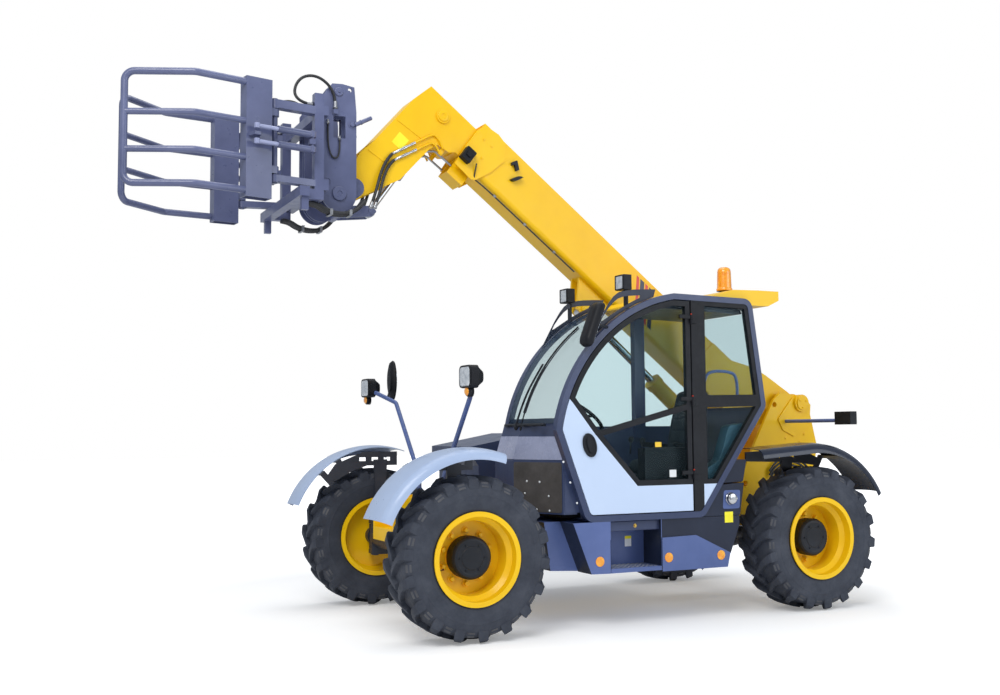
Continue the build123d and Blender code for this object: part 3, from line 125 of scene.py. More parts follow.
def glass_material(name, tint, gloss, rough=0.02):
    """Clear pane with a tint, which shines more where it is seen at a slant."""
    mat, tree, shader = new_material(name)
    streaks = noise(tree, 3.0, 4.0, 0.6, (1, 1, 0.3))
    dust = ramp(tree, noise(tree, 1.3, 3.0, 0.6), [(0.3, (0.03, 0.05, 0.06)), (0.7, (0.06, 0.09, 0.1))])
    plug(tree, shader, {"Base Color": dust, "Roughness": grey_range(tree, streaks, rough, rough + 0.05)})
    clear = add_node(tree, "BsdfTransparent", {"Color": (*tint, 1)})
    facing = add_node(tree, "LayerWeight", {"Blend": 0.35}).outputs["Facing"]
    mix = add_node(tree, "MixShader", {0: grey_range(tree, facing, *gloss, 0.1, 1.0),
                                       1: clear.outputs[0], 2: shader.outputs[0]})
    plug(tree, tree.nodes["Material Output"], {0: mix.outputs[0]})
    return mat


yellow = surface("yellow_gloss", "yellow_paint", (0.93, 0.56, 0.004), (0.88, 0.51, 0.003),
    (0.96, 0.6, 0.006), (0.3, 0.42), coat=0.12, scale=1.2, spec=0.3)
slate = surface("slate_gloss", "slate_paint", (0.036, 0.052, 0.118), (0.028, 0.042, 0.098),
    (0.046, 0.064, 0.138), (0.3, 0.44), coat=0.15, scale=1.6, spec=0.35)
slate_light = surface("slate_blue", None, (0.085, 0.13, 0.32), (0.068, 0.108, 0.275), (0.105, 0.152, 0.365),
    (0.3, 0.42), coat=0.15, scale=1.6, spec=0.35)
tool_paint = surface("tool_slate", "tool_paint", (0.098, 0.115, 0.225), (0.066, 0.08, 0.165),
    (0.145, 0.166, 0.305), (0.26, 0.42), coat=0.35, scale=1.3, spec=0.45)
pale = surface("pale_panel_gloss", None, (0.57, 0.69, 0.9), (0.55, 0.67, 0.88), (0.59, 0.71, 0.92),
    (0.3, 0.42), coat=0.1, scale=1.0, spec=0.3)
fender_pale = surface("fender_gloss", None, (0.4, 0.5, 0.7), (0.37, 0.47, 0.67), (0.43, 0.53, 0.73),
    (0.26, 0.38), coat=0.2, scale=1.4, spec=0.35)
navy_gloss = surface("navy_gloss", None, (0.014, 0.02, 0.04), (0.01, 0.015, 0.03), (0.02, 0.028, 0.052),
    (0.16, 0.28), coat=0.2, scale=1.6, spec=0.35)
black_plastic = surface("black_plastic", "black_plastic", (0.009, 0.01, 0.014), (0.006, 0.007, 0.01),
    (0.014, 0.016, 0.021), (0.42, 0.6), scale=4, grain=900, strength=0.4, spec=0.25)
black_metal = surface("black_metal", "black_metal", (0.011, 0.014, 0.021), (0.008, 0.01, 0.015),
    (0.018, 0.022, 0.032), (0.38, 0.54), scale=3, spec=0.3)
rubber = surface("tyre_rubber", "tyre_rubber", (0.04, 0.047, 0.066), (0.028, 0.033, 0.048),
    (0.06, 0.068, 0.09), (0.55, 0.78), scale=5, grain=260, relief=0.0008, strength=0.5, spec=0.35)
worn_rubber = surface("worn_rubber", "tyre_rubber", (0.085, 0.088, 0.1), (0.06, 0.062, 0.074),
    (0.125, 0.125, 0.13), (0.6, 0.82), scale=7, grain=260, relief=0.0008, strength=0.5, spec=0.3)
steel = surface("bright_steel", None, (0.55, 0.56, 0.58), (0.46, 0.47, 0.5), (0.64, 0.65, 0.66),
    (0.14, 0.26), metallic=1.0, scale=6, stretch=(1, 1, 12))
zinc = surface("zinc_steel", None, (0.34, 0.35, 0.37), (0.26, 0.27, 0.3), (0.42, 0.43, 0.44), (0.3, 0.46),
    metallic=0.9, scale=9)
hose_rubber = surface("hose_rubber", "rubber_hose", (0.018, 0.019, 0.022), (0.013, 0.014, 0.016),
    (0.028, 0.029, 0.033), (0.45, 0.62), scale=14, grain=1200, strength=0.6)
axle_paint = surface("axle_grey", None, (0.03, 0.034, 0.048), (0.022, 0.025, 0.036), (0.042, 0.046, 0.062),
    (0.4, 0.55), coat=0.1, scale=3)
engine_metal = surface("cast_grey", None, (0.06, 0.062, 0.066), (0.04, 0.042, 0.046), (0.09, 0.092, 0.096),
    (0.5, 0.7), metallic=0.3, scale=8, grain=200, strength=0.5)
fabric = surface("seat_cloth", None, (0.03, 0.038, 0.048), (0.022, 0.028, 0.036), (0.045, 0.055, 0.068),
    (0.75, 0.92), scale=12, grain=1500, relief=0.001, strength=0.7, spec=0.2)
mesh_brown = surface("brown_mesh", None, (0.062, 0.056, 0.054), (0.045, 0.04, 0.038), (0.085, 0.078, 0.075),
    (0.55, 0.75), scale=5, grain=700, relief=0.0012, strength=0.8)
white_paint = surface("white_paint", None, (0.78, 0.8, 0.82), (0.7, 0.72, 0.75), (0.84, 0.85, 0.86),
    (0.3, 0.4), coat=0.2, scale=6)
red_paint = surface("red_stripe", None, (0.62, 0.035, 0.012), (0.54, 0.026, 0.01), (0.68, 0.05, 0.02),
    (0.3, 0.42), coat=0.2, scale=6)
sticker_yellow = surface("sticker_yellow", None, (0.92, 0.6, 0.03), (0.86, 0.54, 0.02), (0.95, 0.66, 0.06),
    (0.35, 0.5), scale=12)
amber = surface("amber_lens", "lamp_lens", (0.95, 0.36, 0.01), (0.85, 0.26, 0.008), (1.0, 0.5, 0.03),
    (0.08, 0.2), coat=0.8, scale=30, grain=250, relief=0.002, strength=0.6)
red_lens = surface("red_lens", "lamp_lens", (0.45, 0.01, 0.01), (0.3, 0.006, 0.006), (0.62, 0.03, 0.02),
    (0.08, 0.2), coat=0.8, scale=30, grain=250, relief=0.002, strength=0.6)
lamp_glass = surface("lamp_glass", "lamp_lens", (0.66, 0.7, 0.74), (0.46, 0.5, 0.55), (0.86, 0.89, 0.92),
    (0.06, 0.16), metallic=0.55, coat=1.0, scale=26, grain=140, relief=0.003, strength=0.7)
mirror_face = surface("mirror_face", None, (0.55, 0.6, 0.66), (0.48, 0.53, 0.6), (0.62, 0.67, 0.72),
    (0.03, 0.08), metallic=1.0, scale=2, relief=0.0001, strength=0.1)
tinted = glass_material("tinted_glass", (0.9, 0.965, 0.975), gloss=(0.05, 0.42))
clear_glass = glass_material("screen_glass", (0.965, 0.992, 0.995), gloss=(0.05, 0.4))
tool_light = surface("tool_light", None, (0.3, 0.33, 0.52), (0.24, 0.27, 0.44), (0.36, 0.39, 0.6),
    (0.2, 0.3), coat=0.4, scale=6)
# darker slate: the own colour of the brow gussets, roof liner and rear cover, and painted shade where it is
# put on the side skirts
slate_dark = surface("slate_dark", "slate_paint", (0.012, 0.018, 0.04), (0.009, 0.013, 0.03),
    (0.018, 0.026, 0.052), (0.3, 0.44), coat=0.1, scale=1.6, spec=0.3)
cowl_light = surface("cowl_light", None, (0.32, 0.35, 0.5), (0.26, 0.29, 0.43), (0.4, 0.43, 0.58),
    (0.2, 0.32), coat=0.3, scale=2.5)
teal_plastic = surface("teal_plastic", None, (0.045, 0.12, 0.17), (0.035, 0.1, 0.14), (0.06, 0.15, 0.21),
    (0.4, 0.55), scale=5, grain=700, strength=0.4)
sticker_bright = surface("blank_label", None, (0.95, 0.86, 0.02), (0.92, 0.8, 0.015), (0.97, 0.9, 0.04),
    (0.35, 0.5), scale=12)
navy_stripe = surface("navy_stripe", None, (0.012, 0.018, 0.055), (0.01, 0.014, 0.045), (0.018, 0.025, 0.07),
    (0.3, 0.42), coat=0.2, scale=6)
brass = surface("brass_bolt", None, (0.6, 0.4, 0.1), (0.5, 0.32, 0.07), (0.7, 0.5, 0.16), (0.2, 0.35),
    metallic=1.0, scale=20)


# -------------------- CAD nodes
def soften(obj, width, angle):
    """Smooth shading, and fine bevels on the edges sharper than an angle."""
    for face in obj.data.polygons:
        face.use_smooth = True
    if width:
        edges = obj.modifiers.new("edges", "BEVEL")
        edges.width = width
        edges.segments = 2
        edges.limit_method = "ANGLE"
        edges.angle_limit = radians(angle)
        edges.harden_normals = False
    obj.modifiers.new("shade", "WEIGHTED_NORMAL").keep_sharp = True


looks = {
    "chassis_frame": (yellow, 0.004), "frame_pins": (yellow, 0.003), "front_axle": (axle_paint, 0.004),
    "rear_axle": (axle_paint, 0.004), "engine_hood": (slate, 0.002), "engine_block": (engine_metal, 0.01),
    "right_tank": (slate, 0.006), "side_skirts": (slate_light, 0.004), "cab_frame": (slate, 0.01),
    "cab_shell": (slate, 0.004), "quarter_frame": (black_plastic, 0.003), "windscreen": (clear_glass, 0),
    "cab_windows": (tinted, 0), "roof_panel": (yellow, 0.008), "seat_base": (black_metal, 0.008),
    "seat": (fabric, 0), "controls": (black_plastic, 0.003), "door_panel": (pale, 0.006),
    "door_frame": (black_plastic, 0.003), "door_glass": (tinted, 0), "lamp_stalks": (slate_light, 0),
    "headlamps": (black_plastic, 0.004), "tail_lamps": (black_plastic, 0.008),
    "roof_lamps": (black_plastic, 0.004), "mirrors": (black_plastic, 0.006),
    "outer_boom": (yellow, 0.004), "inner_boom": (yellow, 0.004), "nose_pipes": (zinc, 0),
    "lift_barrel": (yellow, 0.003), "lift_rod": (steel, 0.002), "tilt_barrel": (tool_paint, 0.003),
    "tilt_rod": (steel, 0.002), "carriage": (tool_paint, 0.003), "clamp_frame": (tool_paint, 0.004),
    "front_steer_rod": (steel, 0.002), "rear_steer_rod": (steel, 0.002),
}
for _, hand in SIDES:
    looks[f"clamp_arm_{hand}"] = (tool_paint, 0.003)
    looks[f"clamp_barrels_{hand}"] = (tool_paint, 0.002)
    looks[f"clamp_rods_{hand}"] = (tool_light, 0.001)
    for end in ENDS:
        looks[f"knuckle_{end}_{hand}"] = (axle_paint, 0.003)
        looks[f"fender_{end}_{hand}"] = (fender_pale if end == "front" else navy_gloss, 0.004)
        looks[f"wheel_{end}_{hand}"] = (yellow, 0.003)
for node, (mat, bevel) in looks.items():
    obj = nodes[node]
    for slot in obj.material_slots:
        slot.material = mat
    if not obj.material_slots:
        obj.data.materials.append(mat)
    soften(obj, bevel, 32)


# -------------------- making pieces
def dress(obj, mat, body, slot=None):
    """The object takes its paint and rides on a body; a slot is worked out, its paint's unless another is
    named, but not given to it.
    """
    obj.data.materials.append(mat)
    scene.collection.objects.link(obj)
    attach(obj, body)
    slot = SLOTS[mat.name] if slot is None else slot
    return obj


class Build:
    """Collects the vertices and faces of one piece that is made of several closed forms."""

    def __init__(self):
        self.verts = []
        self.faces = []

    def add(self, verts, faces):
        base = len(self.verts)
        self.verts += [Vector(v) for v in verts]
        self.faces += [tuple(base + i for i in face) for face in faces]
        return self

    def loft(self, rings, closed_ends=True):
        """Join rings of equal length, each a list of points in order."""
        count, last = len(rings[0]), len(rings) - 1
        faces = [(k * count + i, k * count + (i + 1) % count,
                  (k + 1) * count + (i + 1) % count, (k + 1) * count + i)
                 for k in range(last) for i in range(count)]
        if closed_ends:
            faces += [tuple(reversed(range(count))), tuple(last * count + i for i in range(count))]
        return self.add([v for ring in rings for v in ring], faces)

    def lathe(self, profile, centre, axis, steps=32):
        """Turn (radius, along) points about an axis."""
        axis = Vector(axis).normalized()
        side = axis.orthogonal().normalized()
        other = axis.cross(side)
        turns = [2 * pi * i / steps for i in range(steps)]
        return self.loft([[Vector(centre) + axis * a + (side * cos(t) + other * sin(t)) * r for t in turns]
                          for r, a in profile])

    def box(self, low, high):
        (x0, y0, z0), (x1, y1, z1) = low, high
        return self.loft([[(x0, y0, z), (x1, y0, z), (x1, y1, z), (x0, y1, z)] for z in (z0, z1)])

    def bolt(self, centre, axis, radius, height, washer=True):
        if washer:
            self.lathe([(radius * 1.5, 0), (radius * 1.5, height * 0.18), (radius * 1.2, height * 0.22)],
                       centre, axis, 20)
        return self.lathe([(radius, 0), (radius, height * 0.85), (radius * 0.85, height)], centre, axis, 6)

    def prism(self, points, push):
        return self.loft([points, [Vector(p) + Vector(push) for p in points]])

    def slab(self, outline, y0, y1, radius, steps=3):
        """Side view of (x, z) points with rounded corners, from y0 to y1."""
        return self.loft([rounded(flat(outline, y), radius, steps) for y in (y0, y1)])

    def make(self, name, mat, body="machine", slot=None, bevel=0.0, crease=35):
        mesh = bpy.data.meshes.new(name)
        mesh.from_pydata([tuple(v) for v in self.verts], [], self.faces)
        mesh.validate()
        form = bmesh.new()
        form.from_mesh(mesh)
        bmesh.ops.recalc_face_normals(form, faces=form.faces[:])
        form.to_mesh(mesh)
        form.free()
        mesh.update()
        obj = bpy.data.objects.new(name, mesh)
        soften(obj, bevel, crease)
        return dress(obj, mat, body, slot)


def tube(name, points, radius, mat, body="machine", slot=None):
    """Round bar on a smooth line through the points."""
    curve = bpy.data.curves.new(name, "CURVE")
    curve.dimensions = "3D"
    curve.bevel_depth = radius
    curve.bevel_resolution = 5
    curve.use_fill_caps = True
    curve.resolution_u = 10
    spline = curve.splines.new("NURBS")
    spline.points.add(len(points) - 1)
    for point, place in zip(spline.points, points):
        point.co = (*place, 1)
    spline.order_u = 3
    spline.use_endpoint_u = True
    return dress(bpy.data.objects.new(name, curve), mat, body, slot)


def flat(outline, y):
    """Points of a side view, all at one y."""
    return [Vector((x, y, z)) for x, z in outline]


def corners(x0, x1, z0, z1):
    return (x0, z0), (x1, z0), (x1, z1), (x0, z1)


def around(steps):
    """Cosine and sine of even steps round a circle."""
    return [(cos(2 * pi * i / steps), sin(2 * pi * i / steps)) for i in range(steps)]


def rounded(points, radius, steps=4):
    """Outline whose corners turn through short arcs."""
    out = []
    for i, point in enumerate(points):
        p = Vector(point)
        a = Vector(points[i - 1]) - p
        b = Vector(points[(i + 1) % len(points)]) - p
        start = p + a.normalized() * min(radius, a.length * 0.45)
        end = p + b.normalized() * min(radius, b.length * 0.45)
        for k in range(steps + 1):
            t = k / steps
            out.append((start * (1 - t) + p * t) * (1 - t) + (p * (1 - t) + end * t) * t)
    return out


def plate(name, points, push, mat, body="machine", bevel=0.001, radius=0.0):
    outline = rounded(points, radius) if radius else points
    return Build().prism(outline, push).make(name, mat, body, bevel=bevel)


def frame_of(centre, across, along):
    """Function that places a point by its distances across, along and out of a plane."""
    across, along = Vector(across).normalized(), Vector(along).normalized()

    def at(a, b, c=0.0):
        return Vector(centre) + across * a + along * b + across.cross(along) * c
    return at


def square(at, half_a, half_b, radius, c):
    spots = ((-half_a, -half_b), (half_a, -half_b), (half_a, half_b), (-half_a, half_b))
    return rounded([at(a, b, c) for a, b in spots], radius, 5)


# -------------------- tyres and hubs
LUGS = 18
STATIONS = (                   # across the tread, degrees back from the tip, tip radius, half width
    (-0.012, 0.0, 0.578, 0.019),
    (0.03, 3.6, 0.58, 0.021),
    (0.085, 8.6, 0.58, 0.023),
    (0.135, 12.0, 0.578, 0.027),
    (0.172, 13.6, 0.572, 0.031),
    (0.191, 14.2, 0.56, 0.034),
)
CARCASS = (                    # radius, half width of the tyre's section
    (0.306, 0.156), (0.33, 0.17), (0.338, 0.176), (0.352, 0.181), (0.385, 0.189),
    (0.425, 0.1935), (0.438, 0.194), (0.4415, 0.1965), (0.4465, 0.1965), (0.45, 0.194),
    (0.47, 0.1945), (0.49, 0.1935), (0.498, 0.19), (0.515, 0.185), (0.528, 0.176),
    (0.537, 0.16), (0.541, 0.12), (0.543, 0.06), (0.544, 0.0),
)

STEPPED_PATCH = ((0.497, 0.186), (0.532, 0.166), (0.536, 0.172), (0.499, 0.1935))
LUG_LEAD = 12.1                # degrees: how the front left tyre stands
LUG_HEEL = 14.2                # degrees from a lug's tip to its heel on the sidewall


def make_tyre(centre, side, body, ending):
    def at(radius, angle, out):
        return centre + Vector((radius * cos(angle), side * out, radius * sin(angle)))

    profile = list(CARCASS) + [(r, -w) for r, w in reversed(CARCASS[:-1])]
    steps, n = 144, len(profile)
    verts = [at(r, 2 * pi * i / steps, w) for i in range(steps) for r, w in profile]
    faces = [(i * n + k, i * n + (k + 1) % n, (i + 1) % steps * n + (k + 1) % n, (i + 1) % steps * n + k)
             for i in range(steps) for k in range(n)]
    carcass = Build().add(verts, faces).make("tyre_body_" + ending, rubber, body)
    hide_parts("tyre_" + ending)
    lugs, patches = Build(), Build()
    for half in (1, -1):
        for k in range(LUGS):
            tip = radians(360 / LUGS * (k + (0 if half > 0 else 0.5)) + LUG_LEAD)
            rings = []
            for out, back, top, width in STATIONS:
                base = 0.53 if out < 0.15 else 0.512
                foot = width + 0.01
                rings.append([at(r, tip + radians(back) + edge / r, half * out)
                              for r, edge in ((base, -foot), (top, -width), (top, width), (base, foot))])
            rings.append([at(r, tip + radians(LUG_HEEL) + edge / r, half * out)
                          for r, edge, out in ((0.488, -0.036, 0.1945), (0.556, -0.036, 0.1975),
                                               (0.556, 0.036, 0.1975), (0.488, 0.036, 0.1945))])
            lugs.loft(rings)
            gap = tip + radians(LUG_HEEL + 180 / LUGS)
            patches.loft([[at(r, gap + s * 0.052, half * out) for r, out in STEPPED_PATCH]
                          for s in (-1, -0.33, 0.33, 1)])
    lugs.make("tyre_lugs_" + ending, rubber, body, bevel=0.004, crease=30)
    patches.make("tyre_steps_" + ending, worn_rubber, body, bevel=0.0015, crease=30)


def make_hub(centre, side, body, ending):
    axis = (0, side, 0)
    cap = Build().lathe([(0.125, -0.034), (0.15, -0.03), (0.1525, 0.01), (0.1525, 0.066), (0.15, 0.074),
                         (0.136, 0.0895), (0.118, 0.0925), (0.112, 0.0895), (0.084, 0.0895),
                         (0.08, 0.094), (0.03, 0.0955)], centre, axis, 64)
    for c, s in around(6):
        cap.bolt(centre + Vector((c * 0.098, side * 0.088, s * 0.098)), axis, 0.007, 0.01, washer=False)
    cap.make("hub_cap_" + ending, black_metal, body, bevel=0.0015)
    nuts = Build()
    for c, s in around(20)[1::2]:
        nuts.bolt(centre + Vector((c * 0.186, -side * 0.038, s * 0.186)), axis, 0.0195, 0.034)
    nuts.make("wheel_nuts_" + ending, yellow, body, bevel=0.001)
    c, s = cos(-0.35), sin(-0.35)
    root = centre + Vector((c * 0.262, side * 0.02, s * 0.262))
    valve = Build().lathe([(0.008, 0), (0.008, 0.01), (0.004, 0.014), (0.004, 0.042), (0.006, 0.044),
                           (0.006, 0.056)], root, (-c, side * 0.35, -s), 14)
    valve.make("valve_" + ending, black_metal, body)


for end in ENDS:
    for side, hand in SIDES:
        low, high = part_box(f"tyre_{end}_{hand}")
        place = (low + high) / 2, side, f"wheel_{end}_{hand}", f"{end}_{hand}"
        make_tyre(*place)
        make_hub(*place)

# -------------------- free hoses
HOSE_ROUTE = (
    (1.54, 0.323, 3.9), (1.54, 0.323, 4.0), (1.6, 0.335, 4.09), (1.7, 0.35, 4.135),
    (1.805, 0.375, 4.11), (1.872, 0.405, 4.03), (1.89, 0.435, 3.935), (1.822, 0.45, 3.88),
    (1.747, 0.45, 3.88),
)
for side, hand in SIDES:
    points = [(x, side * y, z) for x, y, z in HOSE_ROUTE]
    hose = tube(f"hose_{hand}", points, 0.011, hose_rubber, "tool")
    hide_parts(f"clamp_hose_{hand}")
    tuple(points[0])

# -------------------- places
joints = {joint["name"]: joint for joint in frame["joints"]}
pivot = Vector(joints["boom_lift"]["pos_m"])
reach = Vector(joints["boom_extend"]["axis"])
rise = Vector((-reach.z, 0, reach.x))
cab_low, cab_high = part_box("cab_frame")


def on_boom(u, w, y=0.0):
    """Point along and above the boom, from its pivot."""
    return pivot + reach * u + rise * w + Vector((0, y, 0))


def cab(x, y, z):
    """Point from the cab's front, left and floor."""
    return Vector((cab_high.x + x, cab_high.y + y, cab_low.z + z))


# -------------------- cab
def split_paint(node, mat, test):
    """Give the faces that pass the test a second paint."""
    obj = nodes[node]
    obj.data.materials.append(mat)
    index = len(obj.data.materials) - 1
    for face in obj.data.polygons:
        if test(face.center, face.normal):
            face.material_index = index


split_paint("cab_shell", pale, lambda c, n: c.y > cab_high.y - 0.0445 and c.x < cab_high.x - 1.0)
# painted shade: the side skirts' set-back faces towards the rear and all their forward-facing faces take the
# darker slate, for the shade that falls there
split_paint("side_skirts", slate_dark,
            lambda c, n: (c.x < -0.79 and c.y < cab_high.y - 0.0135 and c.z > 0.49) or n.x > 0.6)
split_paint("roof_lamps", black_metal, lambda c, n: c.z < cab_high.z - 0.06)


def circle(a, b, c):
    """Centre and radius of the side view's circle through three points."""
    d = 2 * (a.x * (b.z - c.z) + b.x * (c.z - a.z) + c.x * (a.z - b.z))
    sa, sb, sc = (p.x ** 2 + p.z ** 2 for p in (a, b, c))
    x = (sa * (b.z - c.z) + sb * (c.z - a.z) + sc * (a.z - b.z)) / d
    z = (sa * (c.x - b.x) + sb * (a.x - c.x) + sc * (b.x - a.x)) / d
    return Vector((x, 0, z)), (Vector((a.x, 0, a.z)) - Vector((x, 0, z))).length


# windscreen's curve, through the brow, the middle and the chin of the cab's side view
screen_centre, screen_radius = circle(cab(-1.056, 0, 1.737), cab(-0.403, 0, 1.421), cab(0, 0, 0.68))


def on_screen(y, z, out):
    """Point over the windscreen at a height, a little outside the glass."""
    drop = z - screen_centre.z
    t = atan2(drop, (screen_radius ** 2 - drop ** 2) ** 0.5)
    return screen_centre + Vector((cos(t), 0, sin(t))) * (screen_radius + out) + Vector((0, y, 0))


wiper_foot, wiper_axis = on_screen(0.56, 1.495, 0.03), (1, 0, 0.2)
wiper = Build()
wiper.lathe([(0.03, -0.035), (0.03, 0.012), (0.024, 0.02), (0.012, 0.024)], wiper_foot, wiper_axis, 24)
wiper.lathe([(0.016, -0.03), (0.016, 0.016), (0.01, 0.02)], wiper_foot + Vector((-0.004, 0.075, -0.02)),
            wiper_axis, 20)
wiper.make("wiper_pivots", black_plastic, bevel=0.001)
ARM_STEPS, BLADE_STEPS = (0, 0.2, 0.45, 0.7, 1), (0, 0.15, 0.3, 0.45, 0.6, 0.75, 0.9, 1)
for name, y, dy, z, dz, out, radius, mat, steps in (
        ("arm", 0.56, 0.1, 1.5, 0.46, 0.045, 0.008, black_metal, ARM_STEPS),
        ("link", 0.635, 0.075, 1.48, 0.46, 0.04, 0.005, black_metal, ARM_STEPS),
        ("blade", 0.615, 0.09, 1.6, 0.66, 0.026, 0.007, black_plastic, BLADE_STEPS),
        ("rubber", 0.615, 0.09, 1.6, 0.66, 0.012, 0.0045, rubber, BLADE_STEPS)):
    tube("wiper_" + name, [on_screen(y + dy * t, z + dz * t, out) for t in steps], radius, mat)

# brackets of the work lamps: a gusset on each side ring, with an open middle
GUSSET_TOP = ((-0.33, 2.36), (-0.375, 2.43), (-0.42, 2.485), (-0.47, 2.52), (-0.53, 2.535), (-0.6, 2.545),
              (-0.7, 2.552), (-0.8, 2.555))
for name, y in (("left", cab_high.y - 0.052), ("right", cab_low.y + 0.046)):
    lower = [on_screen(y, z, 0.004) for z in (2.13, 2.18, 2.23, 2.28, 2.33, 2.38, 2.43, 2.49)]
    upper = flat(GUSSET_TOP, y)
    hole = [[], []]
    for k in range(8):
        along = 1.0 + 5.0 * k / 7
        i, part = int(along), along - int(along)
        low, high = (line[i].lerp(line[i + 1], part) for line in (lower, upper))
        half = 0.26 * sin(pi * (k + 0.35) / 7.7) ** 0.6
        hole[0].append(low.lerp(high, 0.5 - half))
        hole[1].append(low.lerp(high, 0.5 + half))
    ring, hole = lower + upper[::-1], hole[0] + hole[1][::-1]
    push = Vector((0, 0.006, 0))
    Build().loft([ring, [p + push for p in ring], [p + push for p in hole], hole, ring],
                 closed_ends=False).make(f"brow_gusset_{name}", slate_dark, bevel=0.001)

# door furniture
lean = radians(15)
at = frame_of(cab(-0.279, 0.0, 0.568), (cos(lean), 0, -sin(lean)), (sin(lean), 0, cos(lean)))
handle = Build()
handle.loft([[at(a * c, b * s, y) for c, s in around(40)] for a, b, y in (
    (0.056, 0.09, 0.003), (0.056, 0.09, -0.0095), (0.052, 0.0855, -0.0125),
    (0.044, 0.076, -0.012), (0.0385, 0.069, -0.0075))])
handle.loft([[at(a * c + 0.006, b * s, y) for c, s in around(24)] for a, b, y in (
    (0.018, 0.058, -0.007), (0.019, 0.059, -0.0135), (0.015, 0.054, -0.0155))])
handle.lathe([(0.006, 0.006), (0.006, 0.0148), (0.0035, 0.015)], at(-0.016, -0.03), LEFTWARD, 20)
handle.make("door_handle", black_plastic, "door", bevel=0.0006)
tips = Build()
for z in (cab_high.z - 0.197, 1.69, 1.12):
    top = cab(-1.208, 0.008, z + 0.0335 - cab_low.z)
    tips.lathe([(0.0065, 0), (0.0065, 0.006), (0.004, 0.01)], top, UP, 16)
tips.make("hinge_caps", red_paint)

# blank labels and plates on walls that face left
pane_y, step_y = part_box("door_glass")[1].y - 0.0002, 0.89
for name, outline, y, thick, mat, body in (
        ("door_label_small", (-0.809, -0.752, 1.337, 1.375), pane_y, 0.0008, sticker_yellow, "door"),
        ("door_label_white", (-0.942, -0.88, 1.105, 1.161), pane_y, 0.0008, white_paint, "door"),
        ("skirt_label", (-1.468, -1.388, 0.738, 0.822), cab_high.y - 0.0142, 0.0012, sticker_bright,
         "machine"),
        ("step_label", (-0.67, -0.612, 0.572, 0.65), step_y - 0.0002, 0.001, white_paint, "machine"),
        ("step_label_top", (-0.67, -0.612, 0.63, 0.652), step_y + 0.0004, 0.001, sticker_bright,
         "machine")):
    plate(name, flat(corners(*outline), y), (0, thick, 0), mat, body, bevel=0)


# mirrors: the left one is a rounded rectangle, the right one an ellipse
def ellipse(at, half_a, half_b, c):
    return [at(half_a * cosine, half_b * sine, c) for cosine, sine in around(40)]


def mirror(name, centre, along, half_a, half_b, depth, is_square):
    at = frame_of(centre, LEFTWARD, along)
    rings = []
    for grow, c in ((0.86, 0.0), (0.97, 0.003), (1.0, 0.012), (0.99, depth * 0.35), (0.9, depth * 0.75),
                    (0.66, depth * 0.96), (0.3, depth)):
        if is_square:
            rings.append(square(at, half_a * grow, half_b * (1 - (1 - grow) * 0.6), 0.05 * grow, c))
        else:
            rings.append(ellipse(at, half_a * grow, half_b * grow, c))
    shell = Build().loft(rings).make(f"mirror_shell_{name}", black_plastic)
    if is_square:
        rings = [square(at, half_a * 0.84, half_b * 0.9, 0.04, c) for c in (0.001, -0.003)]
    else:
        rings = [ellipse(at, half_a * 0.84, half_b * 0.84, c) for c in (0.001, -0.003)]
    Build().loft(rings).make(f"mirror_glass_{name}", mirror_face, bevel=0.0008)
    return shell


left_mirror = mirror("left", cab(-0.3, 0.065, 1.452), (-0.36, 0, 0.933), 0.074, 0.176, 0.066, True)
mirror("right", (0.545, -1.075, 1.925), UP, 0.08, 0.178, 0.05, False)
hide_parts("mirrors")
tube("mirror_arm_left", [cab(-0.446, -0.004, 1.45), cab(-0.42, 0.03, 1.452), cab(-0.345, 0.048, 1.455),
                         cab(-0.29, 0.062, 1.453)], 0.011, black_metal)
tube("mirror_arm_right", [(0.684, -0.874, 1.764), (0.64, -0.96, 1.79), (0.6, -1.045, 1.835),
                          (0.57, -1.072, 1.925)], 0.009, black_metal)


# lamps
def lens(name, centre, across, half_a, half_b, radius, mat, deep):
    """Domed lens in a bezel; the lens bulges out by deep."""
    at = frame_of(centre, across, UP)
    outer = [square(at, half_a, half_b, radius, c) for c in (-0.002, 0.008)]
    inner = [square(at, half_a * 0.9, half_b * 0.89, radius * 0.85, c) for c in (0.01, 0.002)]
    Build().loft(outer + inner).make(f"{name}_bezel", black_plastic)
    rings = []
    for k in range(6):
        t = k / 5 * pi / 2
        grow = cos(t * 0.92)
        rings.append(square(at, half_a * 0.895 * grow + 0.001, half_b * 0.885 * grow + 0.001,
                            radius * 0.8 * grow, 0.003 + deep * sin(t)))
    Build().loft(rings).make(f"{name}_glass", mat)


head_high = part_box("headlamps")[1]
roof_low, roof_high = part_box("roof_lamps")
tail_low, tail_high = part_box("tail_lamps")
for side, hand in SIDES:
    centre = Vector((head_high.x, side * (head_high.y - 0.1), head_high.z - 0.082))
    lens(f"headlamp_{hand}", centre, LEFTWARD, 0.098, 0.08, 0.045, lamp_glass, 0.02)
    lamp = centre + Vector((-0.045, side * 0.01, -0.105))
    ring = Build().lathe([(0.04, 0), (0.04, 0.03), (0.034, 0.04), (0.02, 0.046)], lamp, AHEAD, 28)
    ring.lathe([(0.012, -0.02), (0.012, 0.055)], lamp + Vector((0.015, 0, -0.003)), UP, 12)
    ring.make(f"indicator_{hand}", black_plastic)
    Build().lathe([(0.032, 0.036), (0.032, 0.043), (0.02, 0.052)], lamp, AHEAD,
                  28).make(f"indicator_lens_{hand}", amber)
for hand, x, y, z in (("left", roof_high.x - 0.075, roof_high.y - 0.06, roof_high.z - 0.278),
                      ("right", roof_high.x, roof_low.y + 0.06, roof_high.z - 0.303)):
    lens(f"work_lamp_{hand}", (x, y, z), LEFTWARD, 0.059, 0.057, 0.012, lamp_glass, 0.006)
    fins = Build()
    for k in range(5):
        fins.box((x - 0.0745, y - 0.05 + k * 0.0225, z - 0.045),
                 (x - 0.068, y - 0.043 + k * 0.0225, z + 0.045))
    fins.make(f"work_lamp_fins_{hand}", black_metal, bevel=0.0008)
